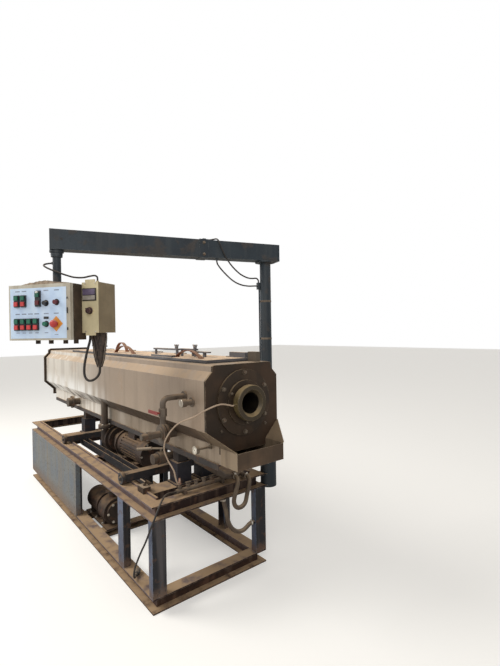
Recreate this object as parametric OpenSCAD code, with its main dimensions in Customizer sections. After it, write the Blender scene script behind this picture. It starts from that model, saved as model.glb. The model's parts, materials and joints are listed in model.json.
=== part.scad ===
// Vacuum sizing tank of a plastic pipe extrusion line, with its pendant control panel.
// X runs along the line, towards the end where the hot pipe comes in. -Y is the operator's side.
// The origin is on the floor, under the middle cross member of the base frame.

/* [Base frame] */
// Length of the base frame
frame_l = 2800; // [2600:50:3200]
// Width of the base frame
frame_w = 780; // [740:10:860]
// Height of the top flanges above the floor
frame_h = 560; // [500:10:600]
// Height of the frame's beam section
beam_h = 80; // [70:5:90]
// Width of the beam's flanges
beam_f = 76; // [70:2:84]
// Thickness of the beam's flanges
beam_t = 8; // [6:0.5:10]
// Thickness of the beam's web
web_t = 6; // [5:0.5:8]
// Depth of the post's channel section
post_d = 45; // [40:1:50]
// Width of the post's channel section
post_w = 80; // [70:5:90]
// Width of the two flat cross members that carry the columns
member_w = 130; // [120:5:150]
// Side of the square guide bar on each top flange
guide_s = 12; // [10:1:16]
// Length of the sheet that closes the far bay
panel_l = 1450; // [1200:10:1500]
// Width of the tube of the columns' sleeves
sleeve_w = 96; // [90:2:110]
// Width of the tube of the columns' stems
stem_w = 64; // [56:2:70]

/* [Tank] */
// Length of the tank between its end plates
tank_l = 3105; // [2900:5:3300]
// How far the near end plate stands out past the frame
tank_over = 288; // [250:2:320]
// Height of the pipe's centre above the floor
centre_h = 1100; // [1080:5:1160]
// Half of the tank's width
tank_half = 236; // [226:2:246]
// Thickness of the tank's sheet
tank_t = 4; // [3:0.5:6]
// Half of the width of the flat top
roof_half = 182; // [180:1:190]
// Half of the width of the lower trough
keel_half = 151; // [145:1:157]
// Height of the flat top above the pipe's centre
roof_up = 200; // [196:2:214]
// Depth of the tank's floor below the pipe's centre
floor_down = 250; // [240:2:256]
// Depth of the trough's floor below the pipe's centre
trough_down = 301; // [290:1:310]
// Thickness of the trough's sheet
trough_t = 3; // [2:0.5:4]
// Thickness of the near end plate
near_t = 12; // [10:1:16]
// Thickness of the far end plate
far_t = 25; // [20:1:30]
// How far the far end plate stands proud of the tank's sides
far_proud = 20; // [14:1:24]

/* [Inlet] */
// Diameter of the sizing sleeve's bore
bore_d = 110; // [100:1:116]
// Wall of the sizing sleeve
sleeve_wall = 20; // [16:1:24]
// Diameter of the sleeve's front ring
ring_d = 186; // [176:2:196]
// Length of the sleeve in front of the end plate
sleeve_out = 74; // [66:2:90]
// Length of the sleeve inside the tank
sleeve_in = 180; // [140:10:240]
// Diameter of the large clamp disc
disc_d = 342; // [320:2:350]
// Diameter of the small clamp disc
hub_d = 230; // [214:2:250]
// Length of the drip tray in front of the end plate
tray_l = 137; // [120:1:160]

/* [Lids] */
// Length of the near lid
lid_near_l = 967; // [900:1:1000]
// Length of the far lid
lid_far_l = 1376; // [1300:2:1500]
// Width of each lid
lid_w = 300; // [280:4:308]
// Thickness of a lid's plate
lid_t = 12; // [10:1:16]
// Thickness of the rubber gasket under a lid
gasket_t = 6; // [4:0.5:8]

/* [Boom and panel] */
// Diameter of the mast
mast_d = 70; // [60:1:76]
// Height of the boom's underside above the floor
boom_z = 1917; // [1860:1:2000]
// Reach of the boom from the mast's axis to its end
boom_reach = 1258; // [1200:2:1320]
// Height of the boom's box section
boom_h = 106; // [96:2:116]
// Width of the boom's box section
boom_w = 90; // [80:2:100]
// Direction in which the boom points, counted from the line's axis
boom_turn = -107; // [-115:1:-100]
// Direction in which the panel faces
panel_turn = -55; // [-70:1:-45]
// Diameter of the pipe that the panel hangs on
pipe_d = 42; // [38:1:46]
// Width of the control cabinet
cab_w = 384; // [360:4:400]
// Height of the control cabinet
cab_h = 290; // [270:2:310]
// Depth of the control cabinet with its door
cab_d = 120; // [110:2:140]
// Height of the cabinet's underside above the floor
cab_z = 1437; // [1425:1:1460]
// Width of the meter box beside the cabinet
box_w = 100; // [90:2:110]
// Depth of the meter box
box_d = 147; // [130:1:160]
// Height of the meter box
box_h = 265; // [250:5:275]

/* [Hidden] */

$fn = 48;
eps = 0.01;

// Film between pieces that only touch, and what a turning pin has in its bore, on the diameter
play = 0.3;
pin_play = 0.1;

// Places along the line
near_x = frame_l / 2 + tank_over;
plate_x = near_x - near_t;
far_x = plate_x - tank_l;
near_member_x = frame_l / 2 - 235;
far_member_x = near_member_x - 1710;
column_y = 85;
seam_x = near_x - 1091;

// Heights
keel_z = centre_h - floor_down;
trough_z = centre_h - trough_down;
roof_z = centre_h + roof_up;
lid_z = roof_z + gasket_t;
lid_top = lid_z + lid_t;
under = frame_h - beam_h;
inner_y = frame_w / 2 - beam_f;

// The tank's outline about the pipe's centre: eight sides, with a narrower keel below
side_up = 126;
side_down = 124;
keel_down = 212;
neck = keel_half - trough_t - play;
half_outline = [[neck, -floor_down], [neck, -keel_down], [tank_half, -side_down],
    [tank_half, side_up], [roof_half + 13, side_up + 42], [roof_half + 11, roof_up - 5],
    [roof_half, roof_up]];
function both_sides(h) = concat(h, [for (i = [len(h) - 1:-1:0]) [-h[i][0], h[i][1]]]);
tank_outline = both_sides(half_outline);

// An outline moved inward by d, each corner along the bisector of its two edges
function unit(v) = v / norm(v);
function inset_corner(p, i, d) =
    let (n = len(p), a = unit(p[i] - p[(i + n - 1) % n]), b = unit(p[(i + 1) % n] - p[i]))
    p[i] + d * [-(a[1] + b[1]), a[0] + b[0]] / (1 + a * b);
function inset(p, d) = [for (i = [0:len(p) - 1]) inset_corner(p, i, d)];

// Runs a profile of the YZ plane along +X
module run_x(x0, len, z0 = 0) {
    translate([x0, 0, z0]) rotate([90, 0, 90]) linear_extrude(len) children();
}

// Round bars along +X, towards the operator, and upward
module rod_x(at, d, len) {
    translate(at) rotate([0, 90, 0]) cylinder(d = d, h = len);
}
module rod_out(at, d, len) {
    translate(at) rotate([90, 0, 0]) cylinder(d = d, h = len);
}
module rod_z(at, d, len) {
    translate(at) cylinder(d = d, h = len);
}

// A box given by its lowest corner and its size
module block(at, size) {
    translate(at) cube(size);
}

// A straight pipe between two points, with a ball at its end that rounds the next bend
module pipe_between(a, b, d) {
    run = b - a;
    translate(a) rotate([0, acos(run[2] / norm(run)), atan2(run[1], run[0])]) cylinder(d = d, h = norm(run));
    translate(b) sphere(d = d + 3);
}

// A pipe bend of a quarter turn, from +X towards +Y about its centre
module bend(r, d) {
    rotate_extrude(angle = 90) translate([r, 0]) circle(d = d, $fn = 24);
}

// A ring of beams with mitred corners, with the web set in from the outer edge
web_in = 40;
module ring_box(inset_by, z0, h) {
    block([-frame_l / 2 + inset_by, -frame_w / 2 + inset_by, z0],
        [frame_l - 2 * inset_by, frame_w - 2 * inset_by, h]);
}

module beam_ring(z0) {
    difference() {
        ring_box(0, z0, beam_h);
        ring_box(beam_f, z0 - 1, beam_h + 2);
        ring_box(web_in + web_t, z0 + beam_t, beam_h - 2 * beam_t);
        difference() {
            ring_box(-1, z0 + beam_t, beam_h - 2 * beam_t);
            ring_box(web_in, z0, beam_h);
        }
    }
}

// The two low members under the vacuum pump; the first is at the origin
low_w = 80;
low_h = 45;
low_x = [0, 380];
module bottom_frame() {
    color("dimgray") {
        beam_ring(0);
        for (x = low_x)
            difference() {
                block([x - low_w / 2, -inner_y - eps, 0], [low_w, 2 * (inner_y + eps), low_h]);
                block([x - low_w / 2 + web_t, -inner_y - 1, beam_t],
                    [low_w, 2 * (inner_y + 1), low_h - 2 * beam_t]);
            }
    }
}

// A post of channel section, its web towards local +X
module post(x, y, turn) {
    translate([x, y, beam_h]) rotate(turn)
        linear_extrude(under - beam_h)
            difference() {
                square([post_d, post_w]);
                translate([-1, web_t]) square([post_d - web_t + 1, post_w - 2 * web_t]);
            }
}

// Four corner posts, and two pairs along the sides
mid_post_x = frame_l / 2 - 385;
panel_x = -frame_l / 2 + 47 + panel_l;
module posts() {
    color("steelblue") {
        post(frame_l / 2 - post_d, -frame_w / 2, 0);
        post(frame_l / 2 - post_d, frame_w / 2 - post_w, 0);
        post(-frame_l / 2 + post_d, -frame_w / 2 + post_w, 180);
        post(-frame_l / 2 + post_d, frame_w / 2, 180);
        rod_out([frame_l / 2 - post_d / 2, frame_w / 2 - post_w + eps, 268], 22, 14);
        for (x = [mid_post_x, panel_x]) {
            post(x - post_w, -frame_w / 2 + post_d, -90);
            post(x, frame_w / 2 - post_d, 90);
        }
    }
}

guide_y = inner_y + guide_s / 2;
module top_frame() {
    color("slategray") {
        beam_ring(under);
        for (x = [near_member_x, far_member_x])
            translate([x - member_w / 2, -inner_y - eps, under])
                difference() {
                    cube([member_w, 2 * (inner_y + eps), beam_h]);
                    block([web_t, -1, -1], [member_w - 2 * web_t, frame_w, beam_h - web_t + 1]);
                }
        for (s = [-1, 1])
            block([-frame_l / 2 + beam_f, s * guide_y - guide_s / 2, frame_h - eps],
                [frame_l - 2 * beam_f, guide_s, guide_s + eps]);
        rod_z([frame_l / 2 - beam_f / 2, 92, under - 12], 34, 12 + eps);
    }
}

// The sheet over the far bay, with its near edge folded in round the post
panel_t = 3;
module side_panel() {
    color("lightsteelblue") {
        block([panel_x - panel_l, -frame_w / 2 - panel_t, beam_h - 7],
            [panel_l + panel_t, panel_t, under - beam_h + 9]);
        block([panel_x, -frame_w / 2 - eps, beam_h + 1], [panel_t, 30, under - beam_h - 2]);
    }
}

// The block that locks the tank's carriage to the guide bar
clamp_x = frame_l / 2 - 234;
module rail_clamp() {
    at_y = -guide_y - guide_s / 2;
    top = frame_h + guide_s;
    color("saddlebrown") {
        difference() {
            block([clamp_x - 38, at_y - 20, frame_h], [76, guide_s + 34, guide_s + 22]);
            block([clamp_x - 39, at_y, frame_h - 1], [78, guide_s + 40, guide_s + 1]);
        }
        rod_z([clamp_x, at_y + guide_s / 2, top + 22 - eps], 16, 12);
        rod_z([clamp_x, at_y + guide_s / 2, top + 34 - 2 * eps], 10, 10);
        rod_x([clamp_x - 50, at_y + guide_s / 2, top + 44], 9, 62);
    }
}

// The pump's carriage: two beams on rollers, with a skid hung between them
roller_d = 74;
roller_w = 24;
roller_y = frame_w / 2 - 4 - roller_w;
axle_d = 20;
tie_h = 46;
tie_w = 60;
tie_t = 5;
tie_z = frame_h + guide_s + 4;
tie_x = [frame_l / 2 - 430, frame_l / 2 - 1650];
pump_y = -95;
skid_half = 118;
skid_h = 50;
skid_z = tie_z - skid_h;
module roller_trolley() {
    color("dimgray") {
        for (x = tie_x) {
            difference() {
                block([x - tie_w / 2, -roller_y + 2, tie_z], [tie_w, 2 * roller_y - 4, tie_h]);
                block([x - tie_w / 2 + tie_t, -roller_y + 2 + tie_t, tie_z - 1],
                    [tie_w - 2 * tie_t, 2 * roller_y - 4 - 2 * tie_t, tie_h - tie_t + 1]);
            }
            for (s = [-1, 1])
                translate([x, s * (roller_y + 2), frame_h + roller_d / 2]) rotate([-90 * s, 0, 0]) roller();
        }
        for (s = [-1, 1])
            difference() {
                block([tie_x[1] - tie_w / 2, pump_y + s * skid_half - 25, skid_z],
                    [tie_x[0] - tie_x[1] + tie_w, 50, skid_h]);
                block([tie_x[1] - tie_w, pump_y + s * skid_half - 25 + tie_t, skid_z + tie_t],
                    [tie_x[0] - tie_x[1] + 2 * tie_w, 50 - 2 * tie_t, skid_h]);
            }
        block([skid_x0, pump_y - skid_half + 25, skid_z], [skid_l, 2 * skid_half - 50, 8]);
    }
}
skid_x0 = frame_l / 2 - 1260;
skid_l = 720;

// One roller on its axle, with a flange towards the middle of the frame
module roller() {
    rod_z([0, 0, -2 - eps], axle_d, roller_w + 8);
    rotate_extrude()
        polygon([[axle_d / 2 - eps, 0], [roller_d / 2 - 1, 0], [roller_d / 2, 2],
            [roller_d / 2, roller_w - 4],
            [roller_d / 2 - 3, roller_w - 2], [roller_d / 2 - 14, roller_w - 2],
            [roller_d / 2 - 17, roller_w - 7], [axle_d / 2 + 7, roller_w - 7],
            [axle_d / 2 + 6, roller_w], [axle_d / 2 - eps, roller_w]]);
}

// Columns that slide one in the other and carry the tank
foot_h = 8;
sleeve_h = 130;
bearer_h = 30;
bearer_y = keel_half - 11;
module at_columns() {
    for (x = [near_member_x, far_member_x])
        for (s = [-1, 1])
            translate([x, s * column_y, frame_h]) children();
}

module square_tube(w, h) {
    linear_extrude(h) square(w, center = true);
}

module column_sleeves() {
    color("midnightblue") at_columns() difference() {
        union() {
            square_tube(sleeve_w, sleeve_h);
            square_tube(sleeve_w + 26, foot_h);
        }
        translate([0, 0, -1]) square_tube(stem_w + 2 * play, sleeve_h + 2);
    }
}

module tank_cradle() {
    color("midnightblue") {
        at_columns() translate([0, 0, foot_h])
            square_tube(stem_w, trough_z - bearer_h - frame_h - foot_h + eps);
        for (s = [-1, 1])
            difference() {
                block([far_x + 60, s * bearer_y - 15 - 4, trough_z - bearer_h], [tank_l - 60, 30, bearer_h]);
                block([far_x, s * bearer_y - 15 - 4 + (s > 0 ? -5 : 5), trough_z - bearer_h - 5],
                    [tank_l + 60, 30, bearer_h]);
            }
        for (x = [near_member_x, far_member_x])
            block([x - 50, -bearer_y + 11 - eps - 30, trough_z - bearer_h],
                [100, 2 * bearer_y + 38, bearer_h - 5]);
    }
}

// Lid openings, cut through the tank's flat top
lid_rim = 22;
near_lid_x = seam_x + 4;
far_lid_x = seam_x - lid_far_l;
module lid_opening(x0, len) {
    block([x0 + lid_rim, -lid_w / 2 + lid_rim, roof_z - 30], [len - 2 * lid_rim, lid_w - 2 * lid_rim, 60]);
}

module tank_body() {
    color("silver")
        difference() {
            run_x(far_x, tank_l, centre_h) polygon(tank_outline);
            run_x(far_x - 1, tank_l + 2, centre_h) polygon(inset(tank_outline, tank_t));
            lid_opening(near_lid_x, lid_near_l);
            lid_opening(far_lid_x, lid_far_l);
        }
}

// The trough under the tank's keel, which runs on under the near end plate
trough_top = keel_down + 2;
trough_in = 40;
module trough_profile() {
    difference() {
        translate([-keel_half, -trough_down]) square([2 * keel_half, trough_down - trough_top]);
        translate([-keel_half + trough_t, -trough_down + trough_t])
            square([2 * (keel_half - trough_t), trough_down]);
    }
}

module lower_trough() {
    color("gainsboro")
        difference() {
            union() {
                run_x(far_x + trough_in, near_x - far_x - trough_in, centre_h) trough_profile();
                block([far_x + trough_in, -keel_half, trough_z],
                    [trough_t, 2 * keel_half, keel_z - trough_z - play]);
            }
            block([plate_x - play, -tank_half, keel_z - play], [near_t + 1, 2 * tank_half, tank_half]);
        }
}

sleeve_d = bore_d + 2 * sleeve_wall;
hole_d = sleeve_d + 2 * play;
module near_end_plate() {
    half = concat([[keel_half, -floor_down], [keel_half, -keel_down]],
        [for (i = [2:len(half_outline) - 1]) half_outline[i]]);
    color("darkslategray")
        difference() {
            run_x(plate_x, near_t, centre_h) polygon(both_sides(half));
            rod_x([plate_x - 1, 0, centre_h], hole_d, near_t + 2);
        }
}

module far_end_plate() {
    color("darkslategray")
        difference() {
            run_x(far_x - far_t, far_t, centre_h) polygon(inset(tank_outline, -far_proud));
            rod_x([far_x - far_t - 1, 0, centre_h], bore_d + 40, far_t + 2);
        }
}

module end_plates() {
    near_end_plate();
    far_end_plate();
}

module outlet_seal() {
    color("black")
        translate([far_x - far_t, 0, centre_h]) rotate([0, -90, 0])
            rotate_extrude()
                polygon([[bore_d / 2, 0], [bore_d / 2 + 60, 0], [bore_d / 2 + 60, 10],
                    [bore_d / 2 + 26, 14], [bore_d / 2 + 22, 24], [bore_d / 2, 24]]);
}

// The drip tray in front of the end plate, with a wing up each lower corner that laps the tank
wing_t = 3;
wing_lap = 88;
wing_edge = [tank_half - keel_half, keel_down - side_down];
wing_along = unit(wing_edge);
wing_out = [wing_along[1], -wing_along[0]];
wing_foot = [keel_half, -keel_down] + play * wing_out;
wing_back = wing_foot + wing_t * wing_out;
wing_slope = wing_edge[1] / wing_edge[0];
wall_in = keel_half - trough_t;
module drip_tray() {
    half = [[keel_half, -trough_down], [keel_half, wing_back[1] - wing_slope * (wing_back[0] - keel_half)],
        wing_back + wing_edge, wing_foot + wing_edge,
        [wall_in, wing_foot[1] - wing_slope * (wing_foot[0] - wall_in)],
        [wall_in, -trough_down + trough_t]];
    lap = [wing_foot + 5 * wing_along, wing_foot + wing_edge, wing_back + wing_edge,
        wing_back + 5 * wing_along];
    color("tan") {
        difference() {
            run_x(near_x, tray_l, centre_h) polygon(both_sides(half));
            translate([near_x, tank_half + 50, centre_h]) rotate([90, 0, 0])
                linear_extrude(2 * tank_half + 100)
                    polygon([[0, -side_down], [tray_l + 1, -keel_down], [tray_l + 1, 0], [0, 0]]);
        }
        block([near_x + tray_l - trough_t, -wall_in - 1, trough_z + 1],
            [trough_t, 2 * wall_in + 2, trough_down - trough_top - 5]);
        for (s = [0, 1])
            mirror([0, s, 0]) run_x(near_x - wing_lap, wing_lap, centre_h) polygon(lap);
    }
}

disc_t = 10;
hub_t = 12;
module clamp_discs() {
    color("dimgray")
        difference() {
            union() {
                rod_x([near_x, 0, centre_h], disc_d, disc_t);
                rod_x([near_x + disc_t - eps, 0, centre_h], hub_d, hub_t);
            }
            rod_x([near_x - 1, 0, centre_h], hole_d, disc_t + hub_t + 2);
        }
}

// The sizing sleeve, turned: a plain tube in the tank, a shoulder on the discs and a bevelled ring
module sizing_sleeve() {
    r = bore_d / 2;
    f = sleeve_in + near_t + disc_t + hub_t;
    e = sleeve_in + near_t + sleeve_out;
    color("darkgoldenrod") {
        translate([plate_x - sleeve_in, 0, centre_h]) rotate([0, 90, 0])
            rotate_extrude($fn = 96)
                polygon([[r, 0], [r + sleeve_wall - 6, 0], [r + sleeve_wall, 8], [sleeve_d / 2, f + play],
                    [ring_d / 2 - 9, f + play], [ring_d / 2 - 9, e - 34], [ring_d / 2, e - 32],
                    [ring_d / 2, e - 3], [ring_d / 2 - 3, e], [r + 14, e], [r, e - 16]]);
        rod_out([barb_x, 4 - ring_d / 2, centre_h], 14, 10);
        rod_out([barb_x, -2 - ring_d / 2, centre_h], 9, 14);
    }
}
barb_x = near_x + sleeve_out - 16;

// Yokes that hold the pipe up inside the tank, and spray pipes along its four inner corners
yoke_n = 5;
yoke_t = 10;
yoke_up = -floor_down + tank_t;
spray_d = 22;
spray_y = tank_half - tank_t - spray_d / 2 - play;
module inner_fittings() {
    pitch = (tank_l - sleeve_in) / (yoke_n + 1);
    color("gainsboro") {
        for (i = [1:yoke_n])
            run_x(far_x + i * pitch, yoke_t, centre_h)
                difference() {
                    translate([-neck + tank_t + play, yoke_up])
                        square([2 * (neck - tank_t - play), -yoke_up - 10]);
                    circle(d = bore_d + 10);
                    translate([-bore_d / 2 - 5, 0]) square([bore_d + 10, 60]);
                }
        for (s = [-1, 1], z = [-70, 100])
            rod_x([far_x, s * spray_y, centre_h + z], spray_d, tank_l);
    }
}

// A lid's plate, with what is bolted on top of it
module lid_plate(x0, len) {
    block([x0, -lid_w / 2, lid_z], [len, lid_w, lid_t]);
}

// A strap handle bowed up over its two feet
bow_t = 5;
module bow_handle(x0, len, y, bow = 0.9) {
    r = len * bow;
    up = r - sqrt(r * r - len * len / 4);
    translate([x0 + len / 2, y + 12, lid_top + up - r])
        rotate([90, 0, 0])
            linear_extrude(24)
                intersection() {
                    difference() {
                        circle(r = r + bow_t, $fn = 160);
                        circle(r = r, $fn = 160);
                    }
                    translate([-len / 2, r - up - eps]) square([len, up + 20]);
                }
    for (x = [x0 - 16, x0 + len - 8])
        block([x, y - 12, lid_top - eps], [24, 24, bow_t + 2]);
}

// A flat clamp bar on two feet, tightened by a nut with wings
module clamp_bar(x0, len, y, nut_x) {
    block([x0, y - 14, lid_top + 38], [len, 28, 10]);
    for (x = [x0 + 14, x0 + len - 14])
        rod_z([x, y, lid_top - eps], 16, 38 + 2 * eps);
    rod_z([nut_x, y, lid_top - eps], 10, 74);
    rod_z([nut_x, y, lid_top + 48 - eps], 22, 12);
    for (s = [-1, 1])
        translate([nut_x + s * 9, y, lid_top + 56]) rotate([0, s * 40, 0])
            translate([-3, -3, 0]) cube([6, 6, 22]);
}

// A loose-ended flat bar on two short feet
module flat_bar(x0, len, y) {
    block([x0, y, lid_top + 24], [len, 24, 8]);
    for (x = [x0 + 10, x0 + len - 60])
        block([x, y + 4, lid_top - eps], [16, 16, 24 + 2 * eps]);
}

hinge_y = lid_w / 2 + 16;
hinge_z = roof_z + 14;
pin_d = 10;
knuckle_d = 18;
knuckle_l = 40;
side_l = 24;
hinge_gap = 0.5;
near_hinges = [near_lid_x + 176, near_lid_x + lid_near_l - 164];
far_hinges = [far_lid_x + 180, far_lid_x + lid_far_l / 2, far_lid_x + lid_far_l - 180];
module lid_knuckles(xs) {
    for (x = xs)
        difference() {
            union() {
                rod_x([x - knuckle_l / 2, hinge_y, hinge_z], knuckle_d, knuckle_l);
                block([x - knuckle_l / 2, lid_w / 2 - 40, lid_top - eps], [knuckle_l, 56, 5]);
                block([x - knuckle_l / 2, lid_w / 2 + 2, hinge_z],
                    [knuckle_l, 14, lid_top + 5 - eps - hinge_z]);
            }
            rod_x([x - knuckle_l, hinge_y, hinge_z], pin_d + pin_play, 2 * knuckle_l);
        }
}

module near_lid() {
    color("burlywood") {
        lid_plate(near_lid_x, lid_near_l);
        bow_handle(near_lid_x + 543, 270, -85);
        clamp_bar(near_lid_x + 179, 320, -50, near_lid_x + 476);
        clamp_bar(near_lid_x + 459, 184, -8, near_lid_x + 628);
        flat_bar(near_lid_x + 554, 196, 3);
        block([near_lid_x + 295, -137, lid_top - eps], [274, 24, 12]);
        block([near_lid_x + 815, 112, lid_top - eps], [lid_near_l - 819, 26, 30]);
        lid_knuckles(near_hinges);
    }
}

module far_lid() {
    color("burlywood") {
        lid_plate(far_lid_x, lid_far_l);
        bow_handle(far_lid_x + lid_far_l - 438, 340, -85);
        bow_handle(far_lid_x + 684, 220, 20, 0.55);
        clamp_bar(far_lid_x + 300, 320, -50, far_lid_x + 460);
        lid_knuckles(far_hinges);
    }
}

module gasket(x0, len) {
    difference() {
        block([x0, -lid_w / 2, roof_z], [len, lid_w, gasket_t - play]);
        block([x0 + lid_rim, -lid_w / 2 + lid_rim, roof_z - 1], [len - 2 * lid_rim, lid_w - 2 * lid_rim, 20]);
    }
}

module lid_gaskets() {
    color("black") {
        gasket(near_lid_x, lid_near_l);
        gasket(far_lid_x, lid_far_l);
    }
}

module rubber_seals() {
    outlet_seal();
    lid_gaskets();
}

module lid_hinges() {
    out = knuckle_l / 2 + hinge_gap;
    color("dimgray")
        for (x = concat(near_hinges, far_hinges)) {
            for (dx = [-out - side_l, out]) {
                rod_x([x + dx, hinge_y, hinge_z], knuckle_d, side_l);
                block([x + dx, hinge_y - 8, roof_z], [side_l, 16, hinge_z - roof_z]);
            }
            rod_x([x - out - side_l, hinge_y, hinge_z], pin_d, 2 * (out + side_l));
        }
    color("dimgray")
        block([near_x - 98, 112, roof_z], [70, 30, 54]);
}

// Pipe stubs on the tank's side: an elbow that ends in a hanging valve, and a capped stub
spigot_x = frame_l / 2 + 87;
spigot_z = centre_h + 34;
spigot_d = 30;
spigot_out = 96;
spigot_r = 30;
valve_d = 44;
stub_x = frame_l / 2 + 164;
stub_z = centre_h + 11;
stem_d = 12;
handle_y = -tank_half - spigot_out - spigot_r;
handle_z = spigot_z - 70;
module side_spigots() {
    color("gray") {
        difference() {
            translate([spigot_x, -tank_half, spigot_z]) {
                rotate([90, 0, 0]) cylinder(d = spigot_d, h = spigot_out + eps);
                rotate([90, 0, 0]) cylinder(d = spigot_d + 22, h = 7);
                translate([0, -spigot_out, -spigot_r]) rotate([0, -90, 0]) rotate([180, 0, 0])
                    bend(spigot_r, spigot_d);
                translate([0, -spigot_out - spigot_r, -54]) cylinder(d = spigot_d, h = 54 - spigot_r + eps);
                translate([0, -spigot_out - spigot_r, -90]) cylinder(d = valve_d, h = 40, $fn = 8);
                translate([0, -spigot_out - spigot_r, -128]) cylinder(d = spigot_d, h = 38 + eps);
            }
            rod_out([spigot_x, handle_y - 8, handle_z], stem_d + pin_play, 60);
        }
        rod_out([stub_x, -tank_half, stub_z], 30, 58);
        rod_out([stub_x, -tank_half - 40, stub_z], 42, 24);
        rod_out([stub_x, -tank_half, stub_z], 50, 6);
    }
}

module red_handle() {
    color("firebrick") {
        rod_out([spigot_x, handle_y - 8 - play, handle_z], stem_d, valve_d / 2 + 4 + eps);
        block([spigot_x - 88, handle_y - valve_d / 2 - 12 - 4, handle_z - 9], [100, 4 + eps, 18]);
    }
}

gauge_x = frame_l / 2 + 202;
gauge_z = trough_z + 76;
module dial_gauge() {
    color("silver") {
        rod_out([gauge_x, -keel_half, gauge_z], 12, 80);
        rod_out([gauge_x, -keel_half, gauge_z], 24, 10);
        rod_out([gauge_x, -keel_half - 80 + eps, gauge_z], 42, 18);
    }
}

// The flanged stub on the trough, and the blind-flanged one at the far column
stub_valve_x = frame_l / 2 - 176;
stub_valve_z = centre_h - 214;
blind_x = frame_l / 2 - 1983;
blind_z = centre_h - 252;
module outside_tank() {
    difference() {
        children();
        run_x(far_x - 1, tank_l + 2, centre_h) polygon(inset(tank_outline, -play));
        block([far_x, -keel_half, trough_z], [tank_l, 2 * keel_half, trough_down - trough_top + 1]);
    }
}

module trough_valve() {
    color("dimgray") {
        outside_tank() rod_out([stub_valve_x, -keel_half + 20, stub_valve_z], 60, 84);
        for (y = [210, 230])
            rod_out([stub_valve_x, -y, stub_valve_z], 112, 14);
        rod_out([stub_valve_x, -220, stub_valve_z], 72, 30);
        rod_out([stub_valve_x, -249, stub_valve_z], 40, 62);
        rod_out([stub_valve_x, -306, stub_valve_z], 50, 20);
        rod_out([stub_valve_x, -325, stub_valve_z], 34, 38);
        outside_tank() rod_out([blind_x, -keel_half, blind_z], 60, 60);
        rod_out([blind_x, -keel_half - 56, blind_z], 110, 16);
        rod_out([blind_x, -keel_half - 71, blind_z], 80, 34);
    }
}

module tank_valves() {
    side_spigots();
    trough_valve();
}

// The drain under the trough: a pipe down, a bend towards the operator and a ball valve
drain_x = frame_l / 2 - 332;
drain_y = -60;
drain_z = trough_z - 100;
drain_d = 50;
drain_r = 40;
ball_d = 78;
ball_y = drain_y - drain_r - 40;
lever_turn = 227;
lever_z = drain_z + ball_d / 2 + 16;
module drain_lever() {
    color("lightgray")
        translate([drain_x, ball_y - 24, 0]) {
            rod_z([0, 0, drain_z + 14 + play], stem_d, lever_z - drain_z - 14 - play + eps);
            rotate(lever_turn) {
                block([-12, -12, lever_z], [72, 24, 5]);
                translate([58, 0, lever_z - 1]) rotate([0, 94, 0]) rod_z([-3, 0, 0], 20, 92);
            }
        }
}

// The circulation pump on its skid: motor, coupling, volute and suction flange
volute_d = 220;
volute_l = 90;
pump_z = skid_z + 8 + volute_d / 2 + 2;
motor_x = frame_l / 2 - 1000;
motor_l = 420;
motor_d = 176;
coupling_l = 150;
volute_x = motor_x - 270;
suction_d = 64;
suction_flange = 140;
delivery_d = 50;
delivery_flange = 96;
flange_t = 14;
riser_x = volute_x + volute_l / 2;
riser_y = pump_y - volute_d / 2 + 15;
riser_z = pump_z + volute_d / 2 - 7;
module circulation_pump() {
    color("saddlebrown") {
        difference() {
            rod_x([motor_x, pump_y, pump_z], motor_d, motor_l - 70);
            for (a = [0:15:345])
                translate([motor_x + 50, pump_y, pump_z]) rotate([a, 0, 0])
                    block([0, motor_d / 2 - 8, -5], [motor_l - 150, 20, 10]);
        }
        rod_x([motor_x + motor_l - 70 - eps, pump_y, pump_z], motor_d + 10, 70);
        rod_x([motor_x - 20, pump_y, pump_z], motor_d + 24, 20 + eps);
        for (x = [motor_x + 60, motor_x + 260])
            block([x, pump_y - 75, skid_z + 8], [50, 150, pump_z - skid_z - 8 - motor_d / 2 + 16]);
        block([motor_x + 120, pump_y - 50, pump_z + motor_d / 2 - 16], [110, 100, 44]);
        rod_x([motor_x - coupling_l, pump_y, pump_z], volute_d / 2, coupling_l - 20 + eps);
        rod_x([volute_x, pump_y, pump_z], volute_d, volute_l);
        rod_x([volute_x + volute_l - eps, pump_y, pump_z], volute_d - 40, 30 + 2 * eps);
        block([volute_x + 20, pump_y - 70, skid_z + 8], [50, 140, 40]);
        rod_x([volute_x - 60, pump_y, pump_z], 80, 60 + eps);
        rod_x([volute_x - 76, pump_y, pump_z], suction_flange, 18);
        rod_z([riser_x, riser_y, pump_z], delivery_d + 2, riser_z - pump_z);
        rod_z([riser_x, riser_y, riser_z - flange_t], delivery_flange, flange_t);
    }
}

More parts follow.
